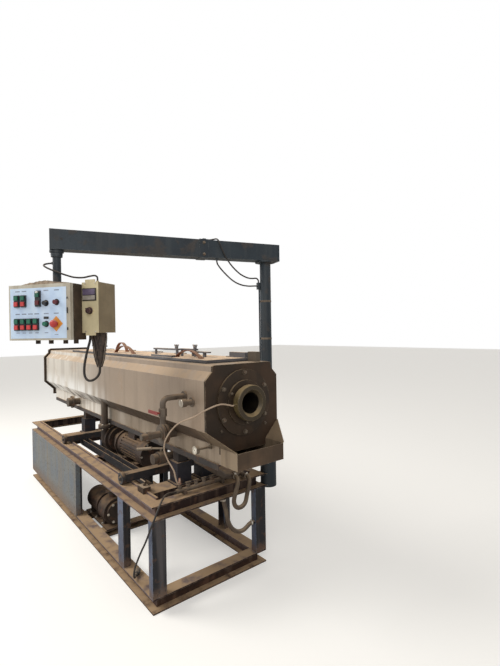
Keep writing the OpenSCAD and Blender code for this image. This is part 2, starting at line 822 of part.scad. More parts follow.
// Suction, delivery and drain pipes; the delivery rises into the tank's lower corner
suction_x = volute_x - 76;
suction_r = 60;
suction_run = 90;
module pump_pipes() {
    color("dimgray") {
        rod_x([suction_x - 20, pump_y, pump_z], suction_flange, 20);
        rod_x([suction_x - suction_run, pump_y, pump_z], suction_d, suction_run - 19);
        translate([suction_x - suction_run, pump_y, pump_z + suction_r])
            rotate([90, 0, 0]) rotate(180) bend(suction_r, suction_d);
        rod_z([suction_x - suction_run - suction_r, pump_y, pump_z + suction_r - 4], suction_d + 2,
            trough_z - pump_z - suction_r + 4);
        rod_z([riser_x, riser_y, riser_z], delivery_flange, flange_t);
        outside_tank()
            rod_z([riser_x, riser_y, riser_z + flange_t - eps], delivery_d, centre_h - riser_z - 140);
        difference() {
            union() {
                rod_z([drain_x, drain_y, drain_z + drain_r - eps], drain_d,
                    trough_z - drain_z - drain_r + eps);
                rod_z([drain_x, drain_y, trough_z - 10], drain_d + 20, 10);
                translate([drain_x, drain_y - drain_r, drain_z + drain_r])
                    rotate([0, -90, 0]) rotate(90) bend(drain_r, drain_d);
                rod_out([drain_x, drain_y - drain_r + eps, drain_z], drain_d, 120);
                rod_out([drain_x, ball_y, drain_z], ball_d, 48);
                rod_out([drain_x, ball_y - 60, drain_z], drain_d + 14, 22);
            }
            rod_z([drain_x, ball_y - 24, drain_z + 14], stem_d + pin_play, 60);
        }
    }
}

// The cooling water's manifold on the near rail, with five taps: the first feeds the sleeve
tap_x = frame_l / 2 - 56;
tap_n = 5;
tap_pitch = 53;
tap_y0 = -192;
rail_pipe_d = 26;
rail_pipe_z = frame_h + rail_pipe_d / 2 + 9;
outlet_y = 236;
outlet_out = 60;
hose_end_d = 22;
module water_manifold() {
    color("dimgray") {
        translate([tap_x, tap_y0 - 24, rail_pipe_z]) rotate([-90, 0, 0])
            cylinder(d = rail_pipe_d, h = outlet_y - tap_y0 + 40);
        for (y = [tap_y0 + 26, tap_y0 + tap_pitch * (tap_n - 1) + 70])
            block([tap_x - 20, y - 10, frame_h], [40, 20, rail_pipe_z - frame_h]);
        for (i = [0:tap_n - 1]) {
            rod_z([tap_x, tap_y0 + i * tap_pitch, rail_pipe_z], 16, 34);
            rod_z([tap_x, tap_y0 + i * tap_pitch, rail_pipe_z + 14], 24, 12);
        }
        for (i = [1:tap_n - 1])
            block([tap_x - 4, tap_y0 + i * tap_pitch - 16, rail_pipe_z + 34 - eps], [8, 32, 6]);
        rod_z([tap_x, tap_y0, rail_pipe_z + 34 - eps], 9, 12);
        translate([tap_x, outlet_y - 52, rail_pipe_z]) rotate([-90, 0, 0]) cylinder(d = 42, h = 26);
        rod_z([tap_x, outlet_y - 39, rail_pipe_z], 14, 44);
        block([tap_x - 10, outlet_y - 84, rail_pipe_z + 44 - eps], [20, 58, 5]);
        rod_x([tap_x, outlet_y, rail_pipe_z], hose_end_d, outlet_out);
        rod_x([tap_x + 18, outlet_y, rail_pipe_z], 32, 20);
        overflow_pipe();
    }
}

// The overflow leaves the trough's floor, slopes across over the rail and ends in a hose nozzle
over_x = frame_l / 2 - 16;
over_d = 42;
over_route = [[over_x, -96, trough_z], [over_x, -96, 745], [over_x, 10, 668], [over_x, 75, 618],
    [over_x, 140, 604], [over_x + 24, 140, 604]];
module overflow_pipe() {
    for (i = [0:len(over_route) - 3])
        pipe_between(over_route[i], over_route[i + 1], i == 0 ? over_d + 2 : over_d);
    rod_x(over_route[4], hose_end_d, 30);
    rod_z([over_x, -96, trough_z - 12], over_d + 22, 12);
}

// The vacuum pump, on the two low members of the frame
vac_y = -inner_y + 130;
vac_z = low_h + 8 + 96;
module vacuum_pump() {
    color("dimgray") {
        block([low_x[0] - low_w / 2, vac_y - 90, low_h], [low_x[1] - low_x[0] + low_w, 180, 8]);
        rod_x([low_x[0] - 20, vac_y, vac_z], 172, 220);
        rod_x([low_x[0] - 34, vac_y, vac_z], 160, 15);
        rod_x([low_x[0] + 200 - eps, vac_y, vac_z], 100, 50);
        rod_x([low_x[0] + 246, vac_y, vac_z], 190, 130);
        rod_x([low_x[0] + 376 - eps, vac_y, vac_z], 150, 24);
        for (x = [low_x[0] + 20, low_x[0] + 140, low_x[0] + 280])
            block([x, vac_y - 70, low_h + 8 - eps], [40, 140, 50]);
        rod_z([low_x[0] + 310, vac_y, vac_z], 56, 130);
        rod_z([low_x[0] + 310, vac_y, vac_z + 128], 96, 14);
    }
}

// The mast turns in a socket that is welded to the side of the frame
mast_x = frame_l / 2 - 24;
socket_d = 102;
socket_h = 220;
socket_floor = 12;
mast_y = frame_w / 2 + socket_d / 2;
socket_z = under - 10;
module mast_socket() {
    color("darkslategray")
        difference() {
            union() {
                rod_z([mast_x, mast_y, socket_z], socket_d, socket_h);
                block([mast_x - 36, frame_w / 2, under + 1], [72, socket_d / 2, beam_t - 2]);
                block([mast_x - 36, frame_w / 2, frame_h - beam_t + 1], [72, socket_d / 2, beam_t - 2]);
            }
            rod_z([mast_x, mast_y, socket_z + socket_floor], mast_d + pin_play, socket_h);
        }
}

collar_t = 8;
module mast() {
    bottom = socket_z + socket_floor + play;
    color("darkslategray") {
        rod_z([mast_x, mast_y, bottom], mast_d, boom_z - bottom);
        rod_z([mast_x, mast_y, boom_z - collar_t], 130, collar_t);
        rod_z([mast_x, mast_y, socket_z + socket_h + play], mast_d + 22, 16);
        on_boom() {
            block([mast_d / 2 - 4, -24, joint_z], [22, 24, 44]);
            rod_z([mast_d / 2 + 4, -12, bottom + socket_h], 10, joint_z - bottom - socket_h + eps);
        }
    }
}
joint_z = 1738;

// What is on the boom is drawn with the boom along +X from the mast, and then turned
module on_boom() {
    translate([mast_x, mast_y, 0]) rotate(boom_turn) children();
}

boom_back = 83;
band_at = 393;
pipe_at = boom_reach - 32;
boss_h = 24;
pipe_in = 60;
module boom() {
    color("darkslategray") on_boom()
        difference() {
            union() {
                block([-boom_back, -boom_w / 2, boom_z], [boom_reach + boom_back, boom_w, boom_h]);
                block([band_at, -boom_w / 2 - 3, boom_z - 3], [56, boom_w + 6, boom_h + 6]);
                rod_z([pipe_at, 0, boom_z - boss_h / 2], boom_w - 18, boss_h / 2 + 1);
                rod_z([pipe_at, 0, boom_z - boss_h], boom_w - 30, boss_h);
                block([398, -8, boom_z + boom_h - eps], [20, 20, 15]);
                rod_z([337, 30, boom_z - 10], 16, 11);
            }
            rod_z([pipe_at, 0, boom_z - boss_h - 1], pipe_d + pin_play, boss_h + 1 + pipe_in);
        }
}

// The panel is drawn about its hanging pipe, with +X the way that it faces, and then turned
pipe_x = mast_x + pipe_at * cos(boom_turn);
pipe_y = mast_y + pipe_at * sin(boom_turn);
module on_panel() {
    translate([pipe_x, pipe_y, 0]) rotate(panel_turn) children();
}

module drop_pipe() {
    color("slategray") on_panel() {
        rod_z([0, 0, cab_z + cab_h], pipe_d, boom_z + pipe_in - play - cab_z - cab_h);
        rod_z([0, 0, cab_z + cab_h], 92, 8);
        rod_z([0, 0, boom_z - boss_h - play - 12], pipe_d + 16, 12);
        rod_out([0, 0, 1850], 16, pipe_d / 2 + 9);
    }
}

cab_t = 3;
door_d = 22;
door_gap = 6;
cab_rear = -28;
cab_left = -36 - cab_w / 2;
body_d = cab_d - door_d - door_gap;
gland_h = 20;
module cabinet_body() {
    color("gray") on_panel() {
        difference() {
            block([cab_rear, cab_left, cab_z], [body_d, cab_w, cab_h]);
            block([cab_rear + cab_t, cab_left + cab_t, cab_z + cab_t],
                [cab_d, cab_w - 2 * cab_t, cab_h - 2 * cab_t]);
        }
        for (y = [0.30, 0.52, 0.76, 0.93])
            rod_z([cab_rear + body_d / 2, cab_left + cab_w * y, cab_z - gland_h], 24, gland_h);
        for (z = [cab_z + 50, cab_z + cab_h - 50]) {
            rod_z([door_hinge[0], door_hinge[1], z - 25], door_pin_d, 50);
            rod_z([door_hinge[0], door_hinge[1], z - 25], 12, 24);
            block([cab_rear + body_d - 18, cab_left - 6, z - 25], [20, 6 + eps, 24]);
        }
    }
}

// The door hangs on its left edge, as the operator sees it
door_pin_d = 6;
door_x = cab_rear + cab_d - door_d;
door_hinge = [door_x - door_gap / 2, cab_left - 6 - play];
module cabinet_door() {
    color("aliceblue") on_panel() {
        difference() {
            block([door_x, cab_left, cab_z], [door_d, cab_w, cab_h]);
            block([door_x - 1, cab_left + cab_t, cab_z + cab_t],
                [door_d - cab_t + 1, cab_w - 2 * cab_t, cab_h - 2 * cab_t]);
        }
        for (z = [cab_z + 50, cab_z + cab_h - 50])
            difference() {
                union() {
                    rod_z([door_hinge[0], door_hinge[1], z + play], 12, 24);
                    block([door_hinge[0], door_hinge[1] - 3, z + play], [12, 6 + 3 + play + eps, 24]);
                }
                rod_z([door_hinge[0], door_hinge[1], z - 30], door_pin_d + pin_play, 60);
            }
    }
}

// Twin push buttons in two rows, and one with a taller cap
face_x = cab_rear + cab_d;
button_w = 30;
module twin_button(u, v, h) {
    block([face_x, cab_left + cab_w * u - button_w / 2, cab_z + cab_h * v], [12, button_w, h]);
    for (s = [0.24, 0.74])
        block([face_x + 12 - eps, cab_left + cab_w * u - 11, cab_z + cab_h * v + h * s - 10], [6, 22, 22]);
}

module push_buttons() {
    color("seagreen") on_panel() {
        for (u = [0.15, 0.26])
            twin_button(u, 0.60, 62);
        twin_button(0.50, 0.60, 80);
        for (u = [0.15, 0.255, 0.36, 0.465])
            twin_button(u, 0.18, 62);
        for (at = [[0.62, 0.66], [0.79, 0.67], [0.62, 0.29]])
            translate([face_x, cab_left + cab_w * at[0], cab_z + cab_h * at[1]]) rotate([0, 90, 0]) {
                cylinder(d = 30, h = 5);
                cylinder(d = 22, h = 20);
            }
    }
}

module stop_button() {
    color("red") on_panel()
        translate([face_x, cab_left + cab_w * 0.78, cab_z + cab_h * 0.29]) rotate([0, 90, 0]) {
            rotate(45) translate([-28, -28, 0]) cube([56, 56, 3]);
            cylinder(d = 24, h = 20);
            rotate_extrude() polygon([[0, 18], [20, 18], [20, 24], [17, 30], [10, 33], [0, 34]]);
        }
}

// The meter box, held against the cabinet's side
box_front = cab_rear + 30;
box_left = cab_left + cab_w;
box_z = cab_z + 35;
module meter_box() {
    color("khaki") on_panel() {
        block([box_front - box_d, box_left, box_z], [box_d, box_w, box_h]);
        for (z = [box_z - 14, box_z + box_h - eps])
            block([box_front - 4, box_left + 20, z], [4, box_w - 40, 14 + eps]);
        translate([box_front - eps, box_left + box_w * 0.52, box_z + 115]) rotate([0, 90, 0]) {
            cylinder(d = 40, h = 8);
            cylinder(d = 30, h = 24);
        }
        translate([box_front - box_d / 2, box_left + box_w / 2 - 1, box_z]) rotate_extrude()
            polygon([[0, eps], [34, eps], [34, -18], [30, -64], [24, -94], [22, -136], [12, -186],
                [0, -186]]);
        rod_z([box_front - 47, box_left + 12, box_z - 12], 18, 12 + eps);
        rod_z([box_front - 52, box_left + 59, box_z + box_h - eps], 16, 12);
    }
}

// Round tubes along a smooth line through points chosen by hand
function between(a, b, c, d, u) = 0.5 * (2 * b + (c - a) * u + (2 * a - 5 * b + 4 * c - d) * u * u
    + (3 * b - a - 3 * c + d) * u * u * u);
function smooth(p, n) = concat([p[0]], [for (i = [1:len(p) - 3], k = [0:n - 1])
    between(p[i - 1], p[i], p[i + 1], p[i + 2], k / n)], [p[len(p) - 2], p[len(p) - 1]]);
function along(p, i) = unit(p[min(i + 1, len(p) - 1)] - p[max(i - 1, 0)]);
function sides_of(p, a, i = 0) = i == len(p) ? []
    : let (t = along(p, i), b = unit(a - (a * t) * t)) concat([b], sides_of(p, b, i + 1));
module tube(p, d, first = [0, 0, 1], sides = 8) {
    a = sides_of(p, first);
    ring = [for (i = [0:len(p) - 1], k = [0:sides - 1])
        let (b = cross(along(p, i), a[i]), w = 360 * k / sides)
        p[i] + d / 2 * (cos(w) * a[i] + sin(w) * b)];
    last = (len(p) - 1) * sides;
    faces = concat([[for (k = [0:sides - 1]) k]], [[for (k = [sides - 1:-1:0]) last + k]],
        [for (i = [0:len(p) - 2], k = [0:sides - 1]) each [
            [i * sides + k, (i + 1) * sides + k, (i + 1) * sides + (k + 1) % sides],
            [i * sides + k, (i + 1) * sides + (k + 1) % sides, i * sides + (k + 1) % sides]]]);
    polyhedron(ring, faces, convexity = 6);
}

inlet_hose_d = 8;
inlet_route = [[1746, -109, 1100], [1746, -119, 1100], [1746, -138, 1106], [1741, -184, 1114],
    [1715, -240, 1095], [1670, -285, 1060], [1560, -320, 1010], [1450, -325, 920], [1404, -315, 850],
    [1412, -300, 795], [1460, -290, 745], [1470, -285, 705], [1452, -262, 668], [1405, -226, 654],
    [1366, -202, 654], [1348, -193, 646], [1344, -192, 637], [1344, -192, 628]];
module inlet_hose() {
    color("rosybrown") tube(smooth(inlet_route, 2), inlet_hose_d);
}

// The overflow's hose hangs in a loop to the manifold's end, and a second one hangs from the rail
water_hose_d = 26;
loop_route = [[1414, 140, 604], [1425, 140, 604], [1446, 136, 597], [1461, 124, 574], [1466, 108, 540],
    [1466, 96, 506], [1465, 93, 482], [1464, 100, 458], [1463, 118, 440], [1462, 140, 434],
    [1462, 164, 440], [1461, 182, 458], [1460, 192, 488], [1460, 202, 520], [1456, 214, 548],
    [1444, 226, 570], [1426, 234, 580], [1413, 236, 582], [1404, 236, 582]];
rail_route = [[1380, 92, 448], [1380, 92, 436], [1380, 96, 400], [1379, 106, 350], [1378, 126, 300],
    [1377, 156, 264], [1376, 192, 244], [1376, 228, 242], [1377, 256, 254], [1378, 274, 265],
    [1378, 286, 268], [1378, 296, 268]];
module overflow_hose() {
    color("dimgray") tube(smooth(loop_route, 2), water_hose_d, [0, 0, 1]);
}

module rail_hose() {
    color("dimgray") tube(smooth(rail_route, 2), water_hose_d, [1, 0, 0]);
}

// Cables at the panel: a loop under the meter box, and one from the pipe to the box's top
meter_cable_d = 13;
meter_cable_route = [[-45, 168, 1460], [-45, 168, 1448], [-46, 164, 1428], [-47, 152, 1394],
    [-49, 136, 1345], [-52, 122, 1290], [-56, 119, 1246], [-60, 128, 1222], [-63, 144, 1213],
    [-66, 166, 1217], [-69, 188, 1232], [-71, 202, 1254], [-71.5, 205, 1274], [-71.5, 205, 1286]];
module meter_cable() {
    color("dimgray") on_panel() tube(smooth(meter_cable_route, 2), meter_cable_d, [1, 0, 0]);
}

pipe_cable_d = 9;
pipe_cable_route = [[0, -30, 1850], [0, -39, 1850], [7, -54, 1848], [22, -60, 1842], [38, -50, 1832],
    [44, -28, 1820], [40, 0, 1807], [30, 34, 1793], [18, 70, 1779], [2, 110, 1767], [-18, 150, 1766],
    [-34, 182, 1774], [-45, 203, 1777], [-50, 213, 1770], [-50, 215, 1759], [-50, 215, 1749]];
module pipe_cable() {
    color("dimgray") on_panel() tube(smooth(pipe_cable_route, 2), pipe_cable_d, [0, 0, 1]);
}

boom_cable_d = 9;
top_route = [[398, 2, 2031], [386, 2, 2031], [370, 8, 2032], [354, 25, 2033], [343, 44, 2032],
    [335, 58, 2022], [328, 62, 2004], [313, 59, 1972], [282, 50, 1918], [240, 42, 1868],
    [190, 32, 1829], [150, 24, 1811], [118, 14, 1805], [88, 3, 1806], [64, -6, 1809], [50, -11, 1804],
    [44, -12, 1793], [44, -12, 1782]];
under_route = [[337, 30, 1907], [337, 30, 1896], [332, 30, 1880], [303, 26, 1846], [256, 20, 1804],
    [227, 16, 1784], [198, 12, 1770], [161, 6, 1760], [130, 1, 1757], [104, -4, 1757], [80, -9, 1759],
    [64, -12, 1760], [53, -12, 1760]];
module upper_boom_cable() {
    color("black") on_boom() tube(smooth(top_route, 2), boom_cable_d, [0, 0, 1]);
}

module lower_boom_cable() {
    color("black") on_boom() tube(smooth(under_route, 2), boom_cable_d, [0, 1, 0]);
}

// The manifold's supply hose hangs over the frame's corner; its coupling lies on the lower flange
supply_d = 10;
supply_route = [[1344, -216, 582], [1344, -227, 582], [1348, -246, 586], [1362, -276, 592],
    [1384, -306, 594], [1406, -334, 584], [1419, -360, 556], [1420, -383, 510], [1405, -401, 455],
    [1364, -407, 380], [1312, -409, 310], [1262, -410, 240], [1224, -410, 180], [1203, -408, 138],
    [1188, -401, 110], [1174, -391, 97], [1164, -383, 96], [1155, -376, 96]];
module supply_hose() {
    color("black") tube(smooth(supply_route, 2), supply_d);
}

module hose_coupling() {
    color("black") translate([1155, -376, 96]) rotate([0, 90, 142.125])
        rotate_extrude() polygon([[0, 0], [7, 0], [8, 14], [13, 16], [16, 22], [16, 46], [12, 48], [12, 58],
            [9, 60], [0, 60]]);
}

bottom_frame();
posts();
top_frame();
side_panel();
rail_clamp();
roller_trolley();
column_sleeves();
tank_cradle();
tank_body();
lower_trough();
end_plates();
rubber_seals();
drip_tray();
clamp_discs();
sizing_sleeve();
inner_fittings();
near_lid();
far_lid();
lid_hinges();
tank_valves();
red_handle();
dial_gauge();
drain_lever();
circulation_pump();
pump_pipes();
water_manifold();
vacuum_pump();
mast_socket();
mast();
boom();
drop_pipe();
cabinet_body();
cabinet_door();
push_buttons();
stop_button();
meter_box();
inlet_hose();
overflow_hose();
rail_hose();
meter_cable();
pipe_cable();
upper_boom_cable();
lower_boom_cable();
supply_hose();
hose_coupling();
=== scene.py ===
# %% [markdown]
# # A vacuum sizing tank of a pipe line, dressed for a picture
#
# The machine stands behind the die of a plastic pipe line. A hot pipe enters the sleeve at its
# near end, water and vacuum inside the long tank fix its size, and a panel on a swinging boom
# controls it. The solids come finished from CAD, in metres, and stay where they are. This
# lesson gives them their finishes and adds what is too small or too soft for a solid: bolts,
# wires, clips, dust and wear.

import json
import math
import random

import bpy
from mathutils import Matrix, Vector


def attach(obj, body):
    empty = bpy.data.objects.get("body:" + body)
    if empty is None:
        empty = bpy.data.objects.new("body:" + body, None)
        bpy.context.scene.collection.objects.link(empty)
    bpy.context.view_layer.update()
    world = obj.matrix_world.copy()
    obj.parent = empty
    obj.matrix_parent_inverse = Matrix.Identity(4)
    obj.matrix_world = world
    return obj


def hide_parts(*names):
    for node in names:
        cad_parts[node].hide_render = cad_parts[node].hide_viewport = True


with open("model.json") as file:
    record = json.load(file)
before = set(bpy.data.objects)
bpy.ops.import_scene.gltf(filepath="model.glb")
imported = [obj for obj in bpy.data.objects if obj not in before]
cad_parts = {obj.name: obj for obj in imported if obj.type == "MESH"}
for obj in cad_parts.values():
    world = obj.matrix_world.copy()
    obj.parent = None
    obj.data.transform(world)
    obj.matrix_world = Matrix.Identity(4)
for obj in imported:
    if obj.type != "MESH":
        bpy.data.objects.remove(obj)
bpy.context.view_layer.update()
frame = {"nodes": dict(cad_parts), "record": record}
nodes = frame["nodes"]

# %% [markdown]
# ## The camera
#
# The photographer stood by the die, at eye height, and looked back along the machine with a
# wide lens. Blender could frame the part by itself, but then the boom and the rails would not
# run as they do in the photograph. So the place, the direction and the lens were worked out
# from the lines of the rails, the tank and the mast.

# %% The camera
EYE = Vector((3.372, -1.325, 1.462))
TURN, NOD, LEAN = 0.685, -0.002, -0.016
FOCAL_PIXELS, LONG_SIDE, SENSOR = 409.8, 666, 36


def add_object(name, data):
    """An object, linked to the scene."""
    made = bpy.data.objects.new(name, data)
    bpy.context.scene.collection.objects.link(made)
    return made


def camera_axes(turn, nod, lean):
    """The camera's right, up and forward directions."""
    forward = Vector((-math.cos(turn) * math.cos(nod), math.sin(turn) * math.cos(nod), math.sin(nod)))
    right = forward.cross(Vector((0, 0, 1))).normalized()
    up = right.cross(forward)
    c, s = math.cos(lean), math.sin(lean)
    return right * c + up * s, up * c - right * s, forward


right, up, forward = camera_axes(TURN, NOD, LEAN)
camera = add_object("camera", bpy.data.cameras.new("camera"))
camera.matrix_world = Matrix.Translation(EYE) @ Matrix((right, up, -forward)).transposed().to_4x4()
camera.data.sensor_width = SENSOR
camera.data.lens = SENSOR * FOCAL_PIXELS / LONG_SIDE
camera.data.clip_start, camera.data.clip_end = 0.05, 80
bpy.context.scene.camera = camera
print("lens in millimetres:", round(camera.data.lens, 2))

# %% [markdown]
# ## Colours as they look
#
# Paint is easiest to match as it looks on a screen, from 0 to 255. Blender counts light in
# straight proportion. One helper turns the first into the second, so that every colour below
# can be read beside the photograph.


# %% Colour helper
def rgb(r, g, b):
    """A colour as the screen shows it, 0 to 255, in Blender's linear numbers."""
    def straight(c):
        c = c / 255
        return c / 12.92 if c <= 0.04045 else ((c + 0.055) / 1.055) ** 2.4
    return (straight(r), straight(g), straight(b), 1.0)


print("a mid grey of 128 is", round(rgb(128, 128, 128)[0], 3))

# %% [markdown]
# ## The places of the panel and the boom
#
# The boom is turned about the mast, and the panel about the pipe that hangs from the boom's end.
# Measuring a button or a cable there in the room's own axes would be a nuisance. Two small
# matrices let every size be given as on a drawing: along the boom, or across the panel's face.

# %% Two local frames
MAST = Vector((1.376, 0.441, 0))
BOOM_TURN, PANEL_TURN, PIPE_AT = math.radians(-107), math.radians(-55), 1.226
room = Matrix.Identity(4)
on_boom = Matrix.Translation(MAST) @ Matrix.Rotation(BOOM_TURN, 4, "Z")
on_panel = Matrix.Translation(on_boom @ Vector((PIPE_AT, 0, 0))) @ Matrix.Rotation(PANEL_TURN, 4, "Z")
print("the panel hangs at", [round(v, 3) for v in on_panel.translation])

# %% [markdown]
# ## Hoses and cables
#
# Eight lines are loose enough to bend on this machine: three water hoses, the supply hose, two
# cables on the panel and two that hang from the boom. A curve with a round bevel would draw
# them, but a ring of points carried along the line gives a plain mesh, whose size Blender
# always knows. The points below are the routes of the drawing, in millimetres. The line passes
# through all of them, and each ring is turned as little as possible from the one before, so
# that the tube never twists.


# %% Helpers that lay a cord
def new_mesh(name, vertices, faces):
    mesh = bpy.data.meshes.new(name)
    mesh.from_pydata(vertices, [], faces)
    mesh.update()
    return add_object(name, mesh)


def smooth_line(route, steps=8):
    """Points on a smooth line through the route, whose tangent at a point follows its neighbours."""
    last, line = len(route) - 1, []
    headings = [(route[min(i + 1, last)] - route[max(i - 1, 0)]).normalized() for i in range(last + 1)]
    for a, b, start, end in zip(route, route[1:], headings, headings[1:]):
        reach = (b - a).length / 3
        c, d = a + start * reach, b - end * reach
        for step in range(steps):
            t = step / steps
            line.append((1 - t) ** 3 * a + 3 * (1 - t) ** 2 * t * c + 3 * (1 - t) * t ** 2 * d + t ** 3 * b)
    return line + [route[last]]


def tube(line, radius, sides):
    """The points and faces of a closed round tube along a line."""
    rings, faces = [], []
    side = (line[1] - line[0]).orthogonal().normalized()
    for i, point in enumerate(line):
        along = (line[min(i + 1, len(line) - 1)] - line[max(i - 1, 0)]).normalized()
        side = (side - along * side.dot(along)).normalized()
        across = along.cross(side)
        for k in range(sides):
            angle = math.tau * k / sides
            rings.append(point + radius * (math.cos(angle) * side + math.sin(angle) * across))
    last = (len(line) - 1) * sides
    faces.append([k for k in reversed(range(sides))])
    faces.append([last + k for k in range(sides)])
    for i in range(len(line) - 1):
        for k in range(sides):
            a, b = i * sides + k, i * sides + (k + 1) % sides
            faces.append([a, b, b + sides, a + sides])
    return rings, faces


def length_of(line):
    return sum((b - a).length for a, b in zip(line, line[1:]))


CORDS = {
    # name: (frame, body, diameter in mm, far end, stiffness, lay, slot, route in mm)
    "inlet_hose": (room, "base", 8, "object", "medium", "loose", "hose_pale", [
        (1746, -109, 1100), (1746, -119, 1100), (1746, -138, 1106), (1741, -184, 1114),
        (1715, -240, 1095), (1670, -285, 1060), (1560, -320, 1010), (1450, -325, 920),
        (1404, -315, 850), (1412, -300, 795), (1460, -290, 745), (1470, -285, 705),
        (1452, -262, 668), (1405, -226, 654), (1366, -202, 654), (1348, -193, 646),
        (1344, -192, 637), (1344, -192, 628)]),
    "overflow_hose": (room, "base", 26, "object", "limp", "loose", "hose_grey", [
        (1414, 140, 604), (1425, 140, 604), (1446, 136, 597), (1461, 124, 574), (1466, 108, 540),
        (1466, 96, 506), (1465, 93, 482), (1464, 100, 458), (1463, 118, 440), (1462, 140, 434),
        (1462, 164, 440), (1461, 182, 458), (1460, 192, 488), (1460, 202, 520), (1456, 214, 548),
        (1444, 226, 570), (1426, 234, 580), (1413, 236, 582), (1404, 236, 582)]),
    "rail_hose": (room, "base", 26, "object", "limp", "loose", "hose_grey", [
        (1362, 92, 468), (1362, 92, 456), (1368, 94, 428), (1377, 98, 396), (1379, 106, 350),
        (1378, 126, 300), (1377, 156, 264), (1376, 192, 244), (1376, 228, 242), (1377, 256, 254),
        (1378, 274, 265), (1378, 286, 268), (1378, 296, 268)]),
    "meter_cable": (on_panel, "panel", 13, "object", "medium", "hanging", "cable_black", [
        (-45, 168, 1460), (-45, 168, 1448), (-46, 164, 1428), (-47, 152, 1394), (-49, 136, 1345),
        (-52, 122, 1290), (-56, 119, 1246), (-60, 128, 1222), (-63, 144, 1213), (-66, 166, 1217),
        (-69, 188, 1232), (-71, 202, 1254), (-71.5, 205, 1274), (-71.5, 205, 1286)]),
    "pipe_cable": (on_panel, "panel", 9, "object", "medium", "loose", "cable_black", [
        (0, -30, 1850), (0, -39, 1850), (7, -54, 1848), (22, -60, 1842), (38, -50, 1832),
        (44, -28, 1820), (40, 0, 1807), (30, 34, 1793), (18, 70, 1779), (2, 110, 1767),
        (-18, 150, 1766), (-34, 182, 1774), (-45, 203, 1777), (-50, 213, 1770),
        (-50, 215, 1759), (-50, 215, 1749)]),
    "upper_boom_cable": (on_boom, "boom", 9, "object", "medium", "hanging", "cable_black", [
        (398, 2, 2031), (386, 2, 2031), (370, 8, 2032), (354, 25, 2033), (343, 44, 2032),
        (335, 58, 2022), (328, 62, 2004), (313, 59, 1972), (282, 50, 1918), (240, 42, 1868),
        (190, 32, 1829), (150, 24, 1811), (118, 14, 1805), (88, 3, 1806), (64, -6, 1809),
        (50, -11, 1804), (44, -12, 1793), (44, -12, 1782)]),
    "lower_boom_cable": (on_boom, "boom", 9, "object", "medium", "hanging", "cable_black", [
        (337, 30, 1907), (337, 30, 1896), (332, 30, 1880), (303, 26, 1846), (256, 20, 1804),
        (227, 16, 1784), (198, 12, 1770), (161, 6, 1760), (130, 1, 1757), (104, -4, 1757),
        (80, -9, 1759), (64, -12, 1760), (53, -12, 1760)]),
    "supply_hose": (room, "base", 10, "connector", "medium", "hanging", "cable_black", [
        (1344, -216, 582), (1344, -227, 582), (1348, -246, 586), (1362, -276, 592),
        (1384, -306, 594), (1406, -334, 584), (1419, -360, 556), (1420, -383, 510),
        (1405, -401, 455), (1364, -407, 380), (1312, -409, 310), (1262, -410, 240),
        (1224, -410, 180), (1203, -408, 138), (1188, -401, 110), (1174, -391, 97),
        (1164, -383, 96), (1155, -376, 96)]),
}

# %% [markdown]
# ## Laying the cords
#
# The real hoses and cables are bought by the metre and hang as their own weight lets them. The
# printed lengths tell how much of each to cut.

# %% Lay the eight cords
cords, CORD_SIDES = {}, 16
for name, (place, body, width, far_end, stiffness, lay, slot, route) in CORDS.items():
    line = smooth_line([place @ (Vector(point) / 1000) for point in route])
    radius = width / 2000
    piece = new_mesh(name + "_line", *tube(line, radius, CORD_SIDES))
    piece.data.shade_smooth()
    piece.data.set_sharp_from_angle(angle=math.radians(60))
    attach(piece, body)
    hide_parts(name)
    cords[name] = piece
    print(name, "length", round(length_of(line), 3), "m")

# %% [markdown]
# ## The room
#
# A factory hall would compete with the machine, so the part stands on a plain pale floor in
# front of white. The world shows white to the camera and in reflections, and gives a softer
# light to everything else. A large lamp high on the operator's side stands for the skylights,
# and a weaker one fills the end that faces the camera. The floor glows a little for the camera
# alone, so that it stays pale and throws no light back on the part.


# %% The floor, the world and the lamps
FLOOR_REACH, FLOOR_GLOW, AMBIENT = 30, 0.34, 0.42


def feed(tree, socket, value):
    """Links another socket to this one, or sets it to a number or a colour."""
    if isinstance(value, bpy.types.NodeSocket):
        tree.links.new(value, socket)
    else:
        socket.default_value = value


def add_node(tree, kind, inputs=None, **settings):
    """A shader node of a kind, with its settings and with what feeds its inputs."""
    made = tree.nodes.new("ShaderNode" + kind)
    for key, value in settings.items():
        setattr(made, key, value)
    for key, value in (inputs or {}).items():
        feed(tree, made.inputs[key], value)
    return made


def plain_floor(reach):
    corners = [(-reach, -reach, 0), (reach, -reach, 0), (reach, reach, 0), (-reach, reach, 0)]
    floor = new_mesh("floor", corners, [(0, 1, 2, 3)])
    paint = bpy.data.materials.new("floor_paint")
    paint.use_nodes = True
    tree = paint.node_tree
    seen = add_node(tree, "LightPath").outputs["Is Camera Ray"]
    glow = add_node(tree, "Math", {0: seen, 1: FLOOR_GLOW}, operation="MULTIPLY").outputs[0]
    for key, value in (("Base Color", rgb(226, 223, 217)), ("Roughness", 0.85),
                       ("Emission Color", (1, 0.99, 0.97, 1)), ("Emission Strength", glow)):
        feed(tree, tree.nodes["Principled BSDF"].inputs[key], value)
    floor.data.materials.append(paint)


